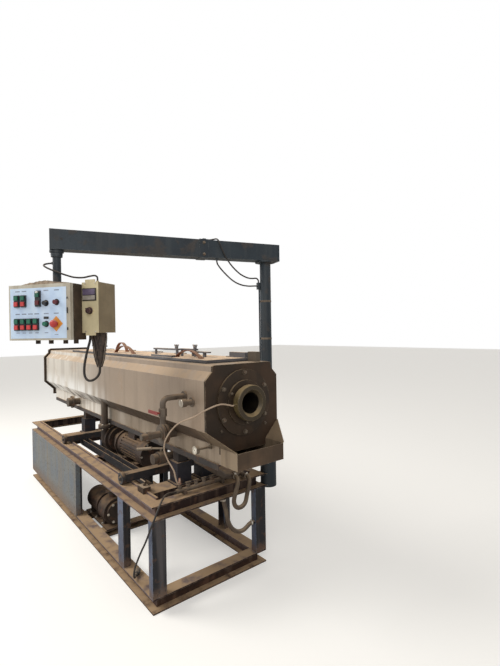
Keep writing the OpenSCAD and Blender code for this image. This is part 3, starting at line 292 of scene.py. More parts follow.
def white_world(ambient):
    world = bpy.data.worlds.new("white_room")
    bpy.context.scene.world = world
    world.use_nodes = True
    tree = world.node_tree
    tree.nodes.clear()
    light = add_node(tree, "Background", {"Color": (1.0, 0.98, 0.95, 1), "Strength": ambient})
    white = add_node(tree, "Background", {"Color": (1, 1, 1, 1), "Strength": 1.0})
    rays = add_node(tree, "LightPath").outputs
    either = rays["Is Camera Ray"]
    for kind in ("Is Glossy Ray", "Is Transmission Ray"):
        either = add_node(tree, "Math", {0: either, 1: rays[kind]}, operation="MAXIMUM").outputs[0]
    mix = add_node(tree, "MixShader", {0: either, 1: light.outputs[0], 2: white.outputs[0]})
    add_node(tree, "OutputWorld", {"Surface": mix.outputs[0]})


def soft_lamp(name, place, target, size, watts, colour=(1, 1, 1)):
    lamp = bpy.data.lights.new(name, "AREA")
    lamp.shape, lamp.size, lamp.energy, lamp.color = "DISK", size, watts, colour
    made = add_object(name, lamp)
    made.location = place
    made.rotation_mode = "QUATERNION"
    made.rotation_quaternion = (Vector(target) - Vector(place)).to_track_quat("-Z", "Y")


plain_floor(FLOOR_REACH)
white_world(AMBIENT)
soft_lamp("skylight", (-2.2, -4.2, 5.2), (0.2, 0, 0.9), 3.6, 330, (1, 0.99, 0.96))
soft_lamp("near_fill", (4.6, -2.4, 3.4), (1.4, -0.2, 1.0), 2.4, 60)
bpy.context.scene.view_settings.view_transform = "Standard"

# %% [markdown]
# ## A helper for finishes
#
# Every metal here has the same story: a base, patches where it varies, streaks where water ran,
# rust, pale worn edges, and brown dust on all that faces up. Some finishes also paint light and
# shade into the colour: painted shade on faces towards the near end and the floor, painted light
# on faces towards the operator and on the far end, and a bright painted reflection low on the far
# end. Each could be a picture, but a picture needs unwrapping and gives out close up. Noise in the
# solid's own space has neither fault, so one helper adds these layers as nodes, and a table of
# numbers says how much of each.


# %% Layers of a finish
class Finish:
    """A material built up in layers, from the bare surface to the dust on it."""

    def __init__(self, name):
        self.material = bpy.data.materials.new(name)
        self.material.use_nodes = True
        self.tree = self.material.node_tree
        self.tree.nodes.clear()
        self.shader, self.place = self.node("BsdfPrincipled"), self.node("TexCoord").outputs
        self.node("OutputMaterial", {"Surface": self.shader.outputs[0]})
        self.colour = self.rough = self.metal = None
        self.heights = []

    def node(self, kind, inputs=None, **settings):
        return add_node(self.tree, kind, inputs, **settings)

    def times(self, a, b):
        """One share of another."""
        return self.node("Math", {0: a, 1: b}, operation="MULTIPLY", use_clamp=True).outputs[0]

    def noise(self, scale, detail=4.0, stretch=(1, 1, 1), shift=0.0):
        """Noise with that many patches to the metre, longer along an axis whose stretch is small."""
        where = self.node("Mapping", {"Vector": self.place["Object"], "Scale": stretch,
                                      "Location": (shift, shift * 1.7, shift * 0.6)}).outputs[0]
        return self.node("TexNoise", {"Vector": where, "Scale": scale, "Detail": detail}).outputs["Fac"]

    def between(self, value, low, high, kind="SMOOTHSTEP"):
        """0 below low, 1 above high, smooth between them."""
        ends = {"Value": value, "From Min": low, "From Max": high}
        return self.node("MapRange", ends, interpolation_type=kind).outputs[0]

    def mix(self, share, a, b, kind="RGBA"):
        """Two colours mixed by a share, or two numbers where the kind is FLOAT."""
        first, result = (6, 2) if kind == "RGBA" else (2, 0)
        return self.node("Mix", {0: share, first: a, first + 1: b}, data_type=kind).outputs[result]

    def along(self, axis, what="Object"):
        """The place along one axis, in metres, or how far the surface faces along it for "Normal"."""
        return self.node("SeparateXYZ", {0: self.place[what]}).outputs[axis]

    def edges(self, radius):
        """1 on sharp edges: where a rounded normal leaves the flat one."""
        rounded = self.node("Bevel", {"Radius": radius}, samples=3).outputs[0]
        flat = self.node("NewGeometry").outputs["True Normal"]
        same = self.node("VectorMath", {0: rounded, 1: flat}, operation="DOT_PRODUCT").outputs["Value"]
        return self.between(same, 0.995, 0.80, "LINEAR")

    def layer(self, share, colour, rough=None, metal=None):
        """Lays a colour over what is there, with its own roughness and metal."""
        self.colour = self.mix(share, self.colour, rgb(*colour))
        if rough is not None:
            self.rough = self.mix(share, self.rough, rough, "FLOAT")
        if metal is not None and self.metal != metal:
            self.metal = self.mix(share, self.metal, metal, "FLOAT")

    def coat(self, where, coat, rough=None, metal=None):
        """Lays a colour where a mask says so, from the start of a (colour, share, ...) tuple."""
        self.layer(self.times(where, coat[1]), coat[0], rough, metal)

    def done(self):
        """Joins the layers to the shader, with their heights as bumps one on another."""
        sockets = self.shader.inputs
        for key, value in (("Base Color", self.colour), ("Roughness", self.rough), ("Metallic", self.metal)):
            feed(self.tree, sockets[key], value)
        target = sockets["Normal"]
        for height, depth in reversed(self.heights):
            bump = self.node("Bump", {"Strength": 1.0, "Distance": depth, "Height": height})
            feed(self.tree, target, bump.outputs[0])
            target = bump.inputs["Normal"]
        return self.material


def wear_and_painted_light_finish(name, base, other, patches=4.0, rough=0.5, metal=0.0, gloss=0.5, grain=90.0,
                streaks=None, rust=None, edge=None, dust=None, low=None, painted_far_light=None, painted_reflection=None,
                front=None, side=None, under=None):
    """The patches mix base and other, and gloss is how strongly dark paint mirrors the white
    room. A (colour, share) pair goes to streaks, to dust, and to front, side and under for what
    faces the near end, the operator and the floor: front and under are painted shade, side is
    painted light. rust has patches a metre as well, and edge a radius. low is (colour, from
    height, to height), fade (colour, from x, to x), painted light that makes the far end lighter,
    and flare (colour, x, height), a bright streaky painted reflection along a lower edge."""
    f = Finish(name)
    broad, fine = f.noise(patches, 5.0), f.noise(grain, 3.0, shift=3.1)
    f.colour = f.mix(f.between(broad, 0.35, 0.65), rgb(*base), rgb(*other))
    f.rough = f.mix(fine, max(rough - 0.12, 0.05), min(rough + 0.12, 1.0), "FLOAT")
    f.metal = metal
    f.shader.inputs["Specular IOR Level"].default_value = gloss
    f.heights = [(broad, 0.0006), (fine, 0.0004)]
    # Painted light: the far end, towards negative X, is made lighter.
    if painted_far_light:
        f.layer(f.between(f.along(0), painted_far_light[1], painted_far_light[2]), painted_far_light[0])
    # Painted shade on the faces turned to the near end, away from the skylight.
    if front:
        f.coat(f.between(f.along(0, "Normal"), 0.35, 0.75), front)
    # Painted light on the faces turned to the operator's side, where the skylight falls.
    if side:
        f.coat(f.between(f.along(1, "Normal"), -0.5, -0.9), side)
    if streaks:
        runs = f.noise(17.0, 4.0, stretch=(1, 1, 0.07), shift=1.3)
        f.coat(f.between(runs, 0.46, 0.66), streaks, min(rough + 0.2, 1.0))
    # Painted shade on the faces turned to the floor.
    if under:
        f.coat(f.between(f.along(2, "Normal"), -0.25, -0.6), under)
    # A painted reflection: bright streaks on the lower part of the far end.
    if painted_reflection:
        run = f.noise(8.0, 3.0, stretch=(1, 1, 0.14), shift=4.4)
        bright = f.times(f.between(f.along(0), painted_reflection[1] + 0.5, painted_reflection[1] - 0.5),
                         f.between(f.along(2), painted_reflection[2] + 0.13, painted_reflection[2]))
        f.layer(f.times(bright, f.between(run, 0.34, 0.62)), painted_reflection[0], 0.3)
    if low:
        near_floor = f.between(f.along(2), low[2], low[1])
        f.layer(f.times(near_floor, f.between(fine, 0.2, 0.6)), low[0], 0.9, 0.0)
    if edge:
        f.coat(f.times(f.edges(edge[2]), f.between(f.noise(34.0, 3.0, shift=5.2), 0.38, 0.60)), edge)
    if rust:
        spots = f.between(f.noise(rust[2], 6.0, shift=7.7), 0.56, 0.66)
        f.coat(spots, rust, 0.92, 0.0)
        f.heights.append((spots, 0.0005))
    if dust:
        lies = f.between(f.along(2, "Normal"), 0.25, 0.85)
        f.coat(f.times(lies, f.between(f.noise(14.0, 5.0, shift=2.4), 0.22, 0.55)), dust, 0.95, 0.0)
    return f.done()


print("the layers of a finish are ready")

# %% [markdown]
# ## The finishes of this machine
#
# The hall is dusty, so a tan dust lies on all of it. The frame's blue-grey paint has rusted
# near the floor, the tank is dull stainless sheet with water stains, the end plate and clamp
# discs are dark brown with painted shade, as their end faces away from the skylight, and the
# sleeve is brass. Some entries also paint light and shade: darker faces towards the near end
# and the floor, a lighter side towards the operator, a lighter far end and a bright painted
# reflection. The numbers were set against the photograph.

# %% Finishes, one for each slot of the record
TAN = (178, 156, 130)

FINISHES = {
    # The frame's faces turned to the near end get painted shade, away from the skylight.
    "frame_paint": dict(
        base=(112, 98, 98), other=(88, 78, 84), rough=0.6, patches=7.0, streaks=((126, 106, 92), 0.5),
        front=((34, 18, 13), 0.95), gloss=0.2, rust=((110, 82, 66), 0.5, 12.0),
        low=((66, 46, 34), 0.0, 0.07), edge=((160, 142, 124), 0.7, 0.004), dust=((176, 148, 116), 0.94)),
    # The posts' faces turned to the near end get painted shade, away from the skylight.
    "post_paint": dict(
        base=(86, 96, 118), other=(70, 76, 94), patches=6.0, streaks=((112, 106, 106), 0.4),
        front=((26, 24, 24), 0.94), gloss=0.3, rust=((92, 68, 54), 0.55, 24.0),
        low=((108, 88, 74), 0.08, 0.15), edge=((140, 150, 160), 0.8, 0.004), dust=(TAN, 0.9)),
    "panel_paint": dict(
        base=(104, 107, 106), other=(90, 99, 108), rough=0.55, patches=5.0,
        streaks=((122, 114, 102), 0.7), rust=((80, 66, 56), 0.6, 60.0), low=((116, 96, 80), 0.07, 0.2),
        edge=((172, 168, 160), 0.8, 0.004), dust=(TAN, 0.9)),
    "clamp_iron": dict(
        base=(82, 66, 52), other=(54, 42, 34), rough=0.6, metal=0.3, rust=((94, 62, 42), 0.8, 20.0),
        dust=(TAN, 0.8)),
    "trolley_paint": dict(
        base=(38, 36, 38), other=(28, 26, 28), rough=0.6, patches=8.0, rust=((78, 56, 44), 0.6, 16.0),
        edge=((120, 106, 92), 0.6, 0.003), dust=((150, 124, 96), 0.9)),
    "column_paint": dict(
        base=(36, 34, 42), other=(26, 25, 32), rough=0.55, patches=8.0, rust=((74, 54, 44), 0.5, 16.0),
        edge=((110, 104, 104), 0.7, 0.003), dust=((140, 116, 92), 0.85)),
    # The tank's far end is painted lighter as light, its lower far part carries a painted reflection, and
    # what faces the floor gets painted shade.
    "tank_steel": dict(
        base=(160, 142, 124), other=(146, 129, 113), rough=0.42, metal=0.35, patches=1.6,
        streaks=((124, 111, 98), 0.3), painted_far_light=((212, 205, 194), 0.5, -0.7),
        painted_reflection=((252, 250, 246), 0.10, 0.985), under=((66, 52, 42), 0.94),
        rust=((148, 124, 102), 0.3, 5.0), edge=((206, 198, 186), 0.5, 0.004),
        dust=((180, 156, 130), 0.96)),
    # The trough's far end is painted lighter as light, and its lower far part carries a painted reflection.
    "trough_steel": dict(
        base=(150, 134, 116), other=(122, 106, 88), rough=0.38, metal=0.35, patches=3.0,
        painted_far_light=((206, 194, 178), 0.6, -0.6), streaks=((108, 92, 76), 0.45),
        painted_reflection=((246, 240, 232), 0.15, 0.85), edge=((206, 198, 186), 0.5, 0.003),
        dust=((138, 120, 98), 0.8)),
    # The end plate's dark brown holds painted shade: its face is turned away from the skylight.
    "end_plate": dict(
        base=(62, 45, 31), other=(42, 31, 21), rough=0.6, gloss=0.3, patches=7.0,
        streaks=((52, 42, 32), 0.4), edge=((158, 144, 122), 0.85, 0.004), dust=((168, 146, 118), 0.9)),
    "seal_rubber": dict(base=(52, 52, 56), other=(40, 40, 42), rough=0.75, dust=(TAN, 0.6)),
    # The tray's faces turned to the operator's side, where the skylight falls, get painted light.
    "tray_steel": dict(
        base=(96, 75, 56), other=(72, 56, 41), metal=0.3, patches=5.0, streaks=((56, 44, 32), 0.4),
        side=((146, 128, 106), 0.92), edge=((190, 176, 152), 0.7, 0.003), dust=((150, 128, 100), 0.7)),
    # The discs' dark brown holds painted shade as well: they face away from the skylight.
    "disc_steel": dict(
        base=(62, 46, 31), other=(42, 31, 21), rough=0.55, metal=0.1, gloss=0.35, patches=9.0,
        streaks=((46, 37, 28), 0.5), edge=((150, 134, 108), 0.75, 0.003), dust=((150, 128, 100), 0.7)),
    # The sleeve's faces turned to the near end get painted shade, away from the skylight.
    "sleeve_brass": dict(
        base=(122, 106, 70), other=(90, 77, 50), rough=0.46, metal=0.35, patches=10.0,
        streaks=((56, 46, 32), 0.5), front=((56, 46, 32), 0.92), edge=((182, 162, 116), 0.8, 0.003),
        dust=((170, 146, 106), 0.8)),
    "inner_steel": dict(base=(140, 132, 122), other=(112, 104, 94), rough=0.4, metal=0.6),
    "lid_metal": dict(
        base=(96, 96, 100), other=(74, 72, 74), metal=0.2, patches=5.0,
        edge=((150, 146, 140), 0.8, 0.003), dust=((238, 206, 172), 0.98)),
    "hinge_steel": dict(base=(92, 82, 70), other=(68, 60, 50), metal=0.4, dust=(TAN, 0.85)),
    "pipe_steel": dict(
        base=(104, 92, 80), other=(76, 65, 55), rough=0.55, metal=0.3, patches=8.0,
        streaks=((60, 48, 40), 0.5), rust=((98, 72, 54), 0.6, 14.0), edge=((150, 140, 126), 0.6, 0.003),
        dust=((150, 128, 104), 0.85)),
    "handle_red": dict(
        base=(150, 44, 40), other=(126, 36, 32), edge=((150, 140, 130), 0.9, 0.002), dust=(TAN, 0.8)),
    "gauge_metal": dict(base=(132, 120, 104), other=(104, 93, 80), rough=0.4, metal=0.5, dust=(TAN, 0.7)),
    "lever_steel": dict(
        base=(140, 128, 112), other=(108, 96, 82), rough=0.45, metal=0.4, dust=(TAN, 0.7)),
    "pump_iron": dict(
        base=(58, 44, 36), other=(36, 28, 24), rough=0.6, metal=0.1, gloss=0.35, patches=9.0,
        rust=((88, 60, 44), 0.6, 18.0), edge=((116, 98, 82), 0.6, 0.004), dust=((122, 98, 74), 0.8)),
    "boom_paint": dict(
        base=(42, 51, 58), other=(34, 40, 46), gloss=0.3, streaks=((78, 80, 80), 0.3),
        rust=((88, 78, 70), 0.4, 10.0), edge=((120, 124, 126), 0.7, 0.004), dust=(TAN, 0.85)),
    "cabinet_paint": dict(
        base=(76, 62, 50), other=(54, 44, 35), rough=0.6, gloss=0.3, patches=12.0,
        streaks=((72, 60, 48), 0.6), edge=((160, 148, 130), 0.6, 0.003), dust=((160, 142, 122), 0.95)),
    "door_paint": dict(
        base=(196, 190, 176), other=(178, 170, 154), rough=0.45, patches=9.0,
        streaks=((150, 138, 118), 0.5), edge=((214, 210, 200), 0.8, 0.004), dust=((196, 178, 154), 0.95)),
    "button_plastic": dict(base=(34, 34, 36), other=(26, 26, 28), rough=0.35, dust=(TAN, 0.5)),
    "stop_plastic": dict(base=(186, 58, 54), other=(160, 44, 42), rough=0.35, dust=(TAN, 0.5)),
    "box_paint": dict(
        base=(210, 197, 160), other=(192, 178, 143), patches=8.0, streaks=((150, 134, 104), 0.4),
        edge=((212, 202, 176), 0.6, 0.003), dust=(TAN, 0.9)),
    "hose_pale": dict(base=(176, 154, 132), other=(152, 130, 110), dust=(TAN, 0.3)),
    "coupling_dark": dict(base=(44, 42, 40), other=(34, 32, 31), dust=(TAN, 0.4)),
    "hose_grey": dict(base=(104, 88, 70), other=(80, 66, 54), rough=0.65, patches=20.0, dust=(TAN, 0.7)),
    "cable_black": dict(
        base=(44, 38, 34), other=(30, 27, 26), rough=0.6, patches=30.0, dust=((120, 104, 88), 0.6)),
}
finishes = {name: wear_and_painted_light_finish(name, **numbers) for name, numbers in FINISHES.items()}
# The cradle under the tank is painted darker than the frame: painted shade under the tank.
cradle_painted_shade = wear_and_painted_light_finish("cradle_painted_shade", (54, 46, 42), (38, 32, 30), patches=7.0, rough=0.6,
                          rust=((84, 62, 48), 0.5, 14.0), dust=((140, 116, 92), 0.85))
print("finishes:", len(finishes) + 1)

# %% [markdown]
# ## Paint the solids
#
# The record says which slot each solid takes its finish from. Reading it there keeps the
# dressed part and the record in step.

# %% Give each solid its finish
slot_of = {part["node"]: part["material_slot"] for part in frame["record"]["subparts"]}
for name, solid in nodes.items():
    solid.data.materials.clear()
    # The cradle takes the painted shade under the tank instead of its slot's finish.
    solid.data.materials.append(cradle_painted_shade if name == "tank_cradle" else finishes[slot_of[name]])
    for polygon in solid.data.polygons:
        polygon.material_index = 0
for name, piece in cords.items():
    piece.data.materials.append(finishes[CORDS[name][6]])
print("painted", len(nodes), "solids and", len(cords), "cords")

# %% [markdown]
# ## Colours within one solid
#
# The lids carry copper bow handles, each button block has a green and a red cap, and the
# sleeve's bore is painted near black, as painted shade inside it. They could be pieces laid over
# the solid. But the solid has their shape already, so a test on where a face lies picks out those
# that need another finish.


# %% Copper handles, coloured caps, the stop button's plate and the bore's painted shade
def repaint(node, finish, picked, place=room):
    """Gives a finish to the faces of a solid whose middle passes the test, in a local frame."""
    mesh, back, count = nodes[node].data, place.inverted(), 0
    mesh.materials.append(finish)
    for polygon in mesh.polygons:
        if picked(back @ polygon.center):
            polygon.material_index = len(mesh.materials) - 1
            count += 1
    print(node, finish.name, count, "faces")


LID_TOP, NEAR_ROW, FAR_ROW, CENTRE, RING_FACE = 1.318, -0.085, 0.02, 1.100, 1.735
BOW_HALF, CAP_HALF, KNOB_RADIUS, BORE_RADIUS = 0.02, 0.0125, 0.0114, 0.056
DOOR_LEFT, DOOR_WIDE, DOOR_LOW, DOOR_HIGH, FACE = -0.228, 0.384, 1.437, 0.290, 0.092
CAP_FRONT = FACE + 0.0125


def on_door(u, v):
    """A place on the door's face, from shares of its width and height."""
    return DOOR_LEFT + u * DOOR_WIDE, DOOR_LOW + v * DOOR_HIGH


def bow(low, high, y):
    return lambda c: c.z > LID_TOP + 0.001 and low < c.x < high and abs(c.y - y) < BOW_HALF


def cap(u, bottom, top):
    y = on_door(u, 0)[0]
    return lambda c: c.x > CAP_FRONT and abs(c.y - y) < CAP_HALF and bottom < c.z < top


def round_cap(u, v):
    y, z = on_door(u, v)
    return lambda c: c.x > FACE + 0.004 and math.hypot(c.y - y, c.z - z) < KNOB_RADIUS


copper = wear_and_painted_light_finish("bow_copper", (150, 96, 66), (112, 70, 50), rough=0.42, metal=0.55,
                     dust=((176, 140, 110), 0.6))
cap_green = wear_and_painted_light_finish("cap_green", (28, 106, 82), (22, 84, 66), rough=0.35)
cap_red = wear_and_painted_light_finish("cap_red", (202, 66, 66), (178, 52, 54), rough=0.35)
cap_dark = wear_and_painted_light_finish("cap_dark_red", (104, 30, 38), (84, 24, 30), rough=0.3)
plate_yellow = wear_and_painted_light_finish("plate_yellow", (222, 150, 62), (204, 132, 50))
# The bore is painted near black: painted shade inside the sleeve.
bore_painted_shade = wear_and_painted_light_finish("bore_painted_shade", (26, 21, 14), (16, 13, 10), patches=20.0, gloss=0.3)
for lid, low, high, row in (("near_lid", 1.12, 1.44, NEAR_ROW), ("far_lid", 0.14, 0.52, NEAR_ROW),
                            ("far_lid", -0.12, 0.15, FAR_ROW)):
    repaint(lid, copper, bow(low, high, row))
for u, v, tall in ((0.15, 0.60, 0.062), (0.26, 0.60, 0.062), (0.50, 0.60, 0.080), (0.15, 0.18, 0.062),
                   (0.255, 0.18, 0.062), (0.36, 0.18, 0.062), (0.465, 0.18, 0.062)):
    low = on_door(0, v)[1]
    split = low + 0.49 * tall
    repaint("push_buttons", cap_dark if u == 0.50 else cap_red, cap(u, low, split), on_panel)
    repaint("push_buttons", cap_green, cap(u, split, low + tall), on_panel)
repaint("push_buttons", cap_dark, round_cap(0.79, 0.67), on_panel)
repaint("push_buttons", cap_green, round_cap(0.62, 0.29), on_panel)
repaint("stop_button", plate_yellow, lambda c: c.x < FACE + 0.0035, on_panel)
# The bore's faces take the painted shade.
repaint("sizing_sleeve", bore_painted_shade,
        lambda c: math.hypot(c.y, c.z - CENTRE) < BORE_RADIUS and c.x < RING_FACE)

# %% [markdown]
# ## A helper for small parts
#
# Bolts, knobs, clips and plates are turned or sawn from bar. Blender's own cylinders and cubes
# have no chamfers, and hundreds of objects would be slow. So one helper gathers such shapes in
# one mesh, each placed by a matrix, and gives it a name, a finish and the body it rides on.


# %% Turned and sawn shapes
class Parts:
    """Gathers closed shapes and makes one object of them. Its calls can be chained."""

    def __init__(self):
        self.points, self.faces = [], []

    def add(self, points, faces, where):
        first = len(self.points)
        self.points += [where @ Vector(point) for point in points]
        self.faces += [[first + i for i in face] for face in faces]
        return self

    def turned(self, profile, where, sides=20, start=0.0):
        """Turns (radius, height) pairs about the local Z axis. A radius of 0 closes an end, and
        a profile that comes back to its first pair makes a ring."""
        points, faces, rows = [], [], []
        for step, (radius, height) in enumerate(profile):
            if step and (radius, height) == profile[0]:
                rows.append(rows[0])
                continue
            count = 1 if radius == 0 else sides
            rows.append([len(points) + i for i in range(count)])
            for i in range(count):
                angle = start + math.tau * i / sides
                points.append((radius * math.cos(angle), radius * math.sin(angle), height))
        for low, high in zip(rows, rows[1:]):
            for i in range(sides):
                j = (i + 1) % sides
                face = [low[i % len(low)], low[j % len(low)], high[j % len(high)], high[i % len(high)]]
                faces.append([p for k, p in enumerate(face) if p not in face[:k]])
        return self.add(points, faces, where)

    def sawn(self, size, where, chamfer=0.001):
        """A block centred on the local X and Y axes that stands on Z = 0, with chamfered edges."""
        wide, deep, tall, c = size[0] / 2, size[1] / 2, size[2], chamfer
        points, faces = [], [list(range(7, -1, -1)), list(range(24, 32))]
        for inset, z in ((c, 0), (0, c), (0, tall - c), (c, tall)):
            w, d = wide - inset, deep - inset
            points += [(w, -d + c, z), (w, d - c, z), (w - c, d, z), (-w + c, d, z),
                       (-w, d - c, z), (-w, -d + c, z), (-w + c, -d, z), (w - c, -d, z)]
        for row in (0, 8, 16):
            for i in range(8):
                j = (i + 1) % 8
                faces.append([row + i, row + j, row + 8 + j, row + 8 + i])
        return self.add(points, faces, where)

    def bolt(self, across, where):
        """A hexagon head on its washer, standing on the local XY plane."""
        r, base = across / math.sqrt(3), 0.0018
        self.turned([(0, 0), (r * 1.25, 0), (r * 1.25, 0.0016), (r * 0.9, base), (0, base)], where, 16)
        self.turned([(0, 0.001), (r, 0.001), (r, base + across * 0.52), (r * 0.86, base + across * 0.6),
                     (0, base + across * 0.6)], where, 6, random.random())

    def ring_of_bolts(self, across, radius, count, where, start=0.0):
        for i in range(count):
            angle = start + math.tau * i / count
            place = Matrix.Translation((radius * math.cos(angle), radius * math.sin(angle), 0))
            self.bolt(across, where @ place)

    def made(self, name, finish, body, slot, sharp=30):
        """The object, with smooth faces and sharp edges, riding on its body."""
        piece = new_mesh(name, self.points, self.faces)
        piece.data.shade_smooth()
        piece.data.set_sharp_from_angle(angle=math.radians(sharp))
        piece.data.materials.append(finish)
        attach(piece, body)
        print(name, len(piece.data.polygons), "faces")


def facing(place, direction):
    """A local frame at a place whose Z axis points the given way."""
    return Matrix.Translation(place) @ direction.to_track_quat("Z", "Y").to_matrix().to_4x4()


def shifted(x, y, z):
    return Matrix.Translation((x, y, z))


random.seed(7)
X, Y, Z = Matrix.Identity(3)
bolt_steel = wear_and_painted_light_finish("bolt_steel", (112, 100, 86), (78, 66, 54), patches=30, metal=0.5,
                         rust=((96, 66, 46), 0.5, 40.0), edge=((176, 166, 150), 0.7, 0.0015))
bright_steel = wear_and_painted_light_finish("bright_steel", (206, 198, 186), (170, 160, 146), patches=30, rough=0.35,
                           metal=0.6)

# %% [markdown]
# ## Bolts of the near end
#
# The clamp discs are changed when the line makes another size of pipe, so they are bolted: a
# ring of large bolts through the outer disc, a ring of small ones through the hub, and a few
# in the end plate. They stand on the faces that the drawing gives. A repeat by angle keeps
# each ring true, and a random turn of each head keeps it from looking stamped.

# %% Bolts on the discs and the end plate
PLATE_FACE, DISC_FACE, HUB_FACE = 1.688, 1.698, 1.710
ends = Parts()
for across, radius, count, face in ((0.017, 0.154, 6, DISC_FACE), (0.010, 0.105, 3, HUB_FACE)):
    ends.ring_of_bolts(across, radius, count, facing((face, 0, CENTRE), X), math.radians(30))
for y in (0.145, -0.145):
    ends.bolt(0.012, facing((PLATE_FACE, y, CENTRE - 0.133), X))
ends.made("near_end_bolts", bolt_steel, "base", "disc_steel")

# %% [markdown]
# ## Bolts of the pumps
#
# Every pipe flange is a pair of discs held by four bolts, the pumps' covers are held by six, and
# the vacuum pump's feet are bolted down to the frame. One list of sizes, radii, places and
# directions serves all the rings.

# %% Bolts on flanges, covers and feet
PUMP_Y, PUMP_Z, SLANT = -0.095, 0.646, math.radians(45)
flange_bolts = Parts()
for across, radius, count, place, direction, start in (
        (0.016, 0.055, 4, (0.034, PUMP_Y, PUMP_Z), -X, SLANT),
        (0.016, 0.055, 4, (0.072, PUMP_Y, PUMP_Z), X, SLANT),
        (0.011, 0.037, 4, (0.175, -0.190, 0.763), Z, SLANT),
        (0.011, 0.037, 4, (0.175, -0.190, 0.735), -Z, SLANT),
        (0.013, 0.084, 6, (0.812, PUMP_Y, PUMP_Z), X, 0.0),
        (0.013, 0.070, 6, (0.400, -0.184, 0.149), X, 0.0)):
    flange_bolts.ring_of_bolts(across, radius, count, facing(place, direction), start)
for x in (0.040, 0.160, 0.300):
    for y in (-0.262, -0.106):
        flange_bolts.bolt(0.013, facing((x, y, 0.053), Z))
flange_bolts.made("pump_bolts", bright_steel, "base", "pump_iron")

# %% [markdown]
# ## The face of the panel
#
# The door is a beige steel tray with a pale blue plate on its face, where all the buttons sit.
# Above each row runs a strip for labels, left blank here. A flat plate is sawn rather than
# turned, and stands a fraction proud of the door so that its edge catches light.


# %% The blue plate, the label strips and the pilot lamp
def on_front(x, y, z):
    """A local frame whose Z axis points out of the panel's front and whose X axis runs across it."""
    return on_panel @ Matrix(((0, 0, 1, x), (1, 0, 0, y), (0, 1, 0, z), (0, 0, 0, 1)))


def on_face(u, v, proud=0.0):
    return on_front(FACE + proud, *on_door(u, v))


PLATE = 0.0011
face_blue = wear_and_painted_light_finish("face_blue", (204, 224, 246), (190, 211, 238), patches=14, rough=0.4,
                        streaks=((214, 224, 238), 0.4), dust=(TAN, 0.8))
strip_grey = wear_and_painted_light_finish("strip_grey", (150, 160, 178), (128, 138, 158), patches=60)
lamp_white = wear_and_painted_light_finish("lamp_white", (232, 230, 222), (214, 210, 200), patches=40, rough=0.3)
# Dark trim for the display frame and collars, and painted shade where it stands for a hole or a slot.
dark_trim_and_painted_hole_shade = wear_and_painted_light_finish("dark_trim_and_painted_hole_shade", (46, 40, 36), (32, 28, 26), patches=30, rough=0.7)

Parts().sawn((0.352, 0.262, 0.0012), on_face(0.482, 0.487), 0.0005).made(
    "panel_face", face_blue, "cabinet_door", "door_paint")
strips = Parts()
for u in (0.15, 0.26, 0.50, 0.62, 0.79):
    strips.sawn((0.030, 0.006, 0.0006), on_face(u, 0.885, PLATE), 0.0002)
for u in (0.15, 0.255, 0.36, 0.465, 0.62, 0.78):
    strips.sawn((0.030, 0.006, 0.0006), on_face(u, 0.475, PLATE), 0.0002)
    strips.sawn((0.022, 0.004, 0.0006), on_face(u, 0.135 if u < 0.7 else 0.10, PLATE), 0.0002)
strips.made("label_strips", strip_grey, "cabinet_door", "door_paint")
Parts().turned([(0, 0), (0.0065, 0), (0.0065, 0.004), (0.005, 0.008), (0, 0.009)],
               on_face(0.50, 0.855, 0.011)).made("pilot_lamp", lamp_white, "cabinet_door", "button_plastic")

# %% [markdown]
# ## Knobs and latches on the door
#
# The round fittings sit in a collar with a chamfered rim, turned from a profile as a real one
# is. The latches are small slots at the door's free edge, drawn as dark blocks that paint the
# shade in the slots.

# %% Collars and latches
rims = Parts()
for u, v in ((0.62, 0.66), (0.79, 0.67), (0.62, 0.29)):
    rims.turned([(0, 0), (0.0165, 0), (0.0165, 0.003), (0.01419, 0.0045), (0, 0.0045)], on_face(u, v))
rims.sawn((0.030, 0.012, 0.004), on_face(0.62, 0.40))
for v, tall in ((0.52, 0.030), (0.20, 0.014), (0.74, 0.010)):
    rims.sawn((0.007, tall, 0.003), on_face(0.955, v))
rims.made("panel_rims", dark_trim_and_painted_hole_shade, "cabinet_door", "button_plastic")

# %% [markdown]
# ## The meter box
#
# The khaki box shows a drive's speed: a grey-violet display in a dark frame at the top and a
# turning knob below. Its lettering isn't copied, so the display is blank. Its cover is held by
# screws at two tabs, and the side away from the skylights is painted darker, as painted shade.

# %% Display, knob and screws of the meter box
BOX_FACE = 0.002


def on_box(y, z, proud=0.0):
    return on_front(BOX_FACE + proud, y, z)


display_violet = wear_and_painted_light_finish("display_violet", (104, 92, 116), (88, 76, 98), patches=30, rough=0.25)
display_grey = wear_and_painted_light_finish("display_grey", (166, 158, 150), (146, 138, 128), patches=40, rough=0.35)
knob_maroon = wear_and_painted_light_finish("knob_maroon", (64, 28, 30), (46, 22, 24), patches=60, rough=0.35)
# The box's side away from the skylights takes this darker paint: painted shade.
box_side_painted_shade = wear_and_painted_light_finish("box_side_painted_shade", (140, 124, 94), (124, 108, 80), patches=8, rough=0.55,
                         streaks=((100, 84, 60), 0.4), dust=(TAN, 0.9))
repaint("meter_box", box_side_painted_shade, lambda c: c.y > 0.2545 and c.z > 1.473, on_panel)
for name, finish, size, where, chamfer in (
        ("display_frame", dark_trim_and_painted_hole_shade, (0.084, 0.066, 0.004), on_box(0.202, 1.672), 0.001),
        ("display_window", display_violet, (0.074, 0.030, 0.0012), on_box(0.200, 1.686, 0.0036), 0.0004),
        ("display_strip", display_grey, (0.074, 0.022, 0.0012), on_box(0.200, 1.656, 0.0036), 0.0004)):
    Parts().sawn(size, where, chamfer).made(name, finish, "panel", "box_paint")
knob = Parts()
knob.turned([(0, 0.002), (0.019, 0.002), (0.019, 0.005), (0.0165, 0.006), (0.0150, 0.020), (0.0135, 0.022),
             (0, 0.022)], on_box(0.208, 1.587, 0.004), 24)
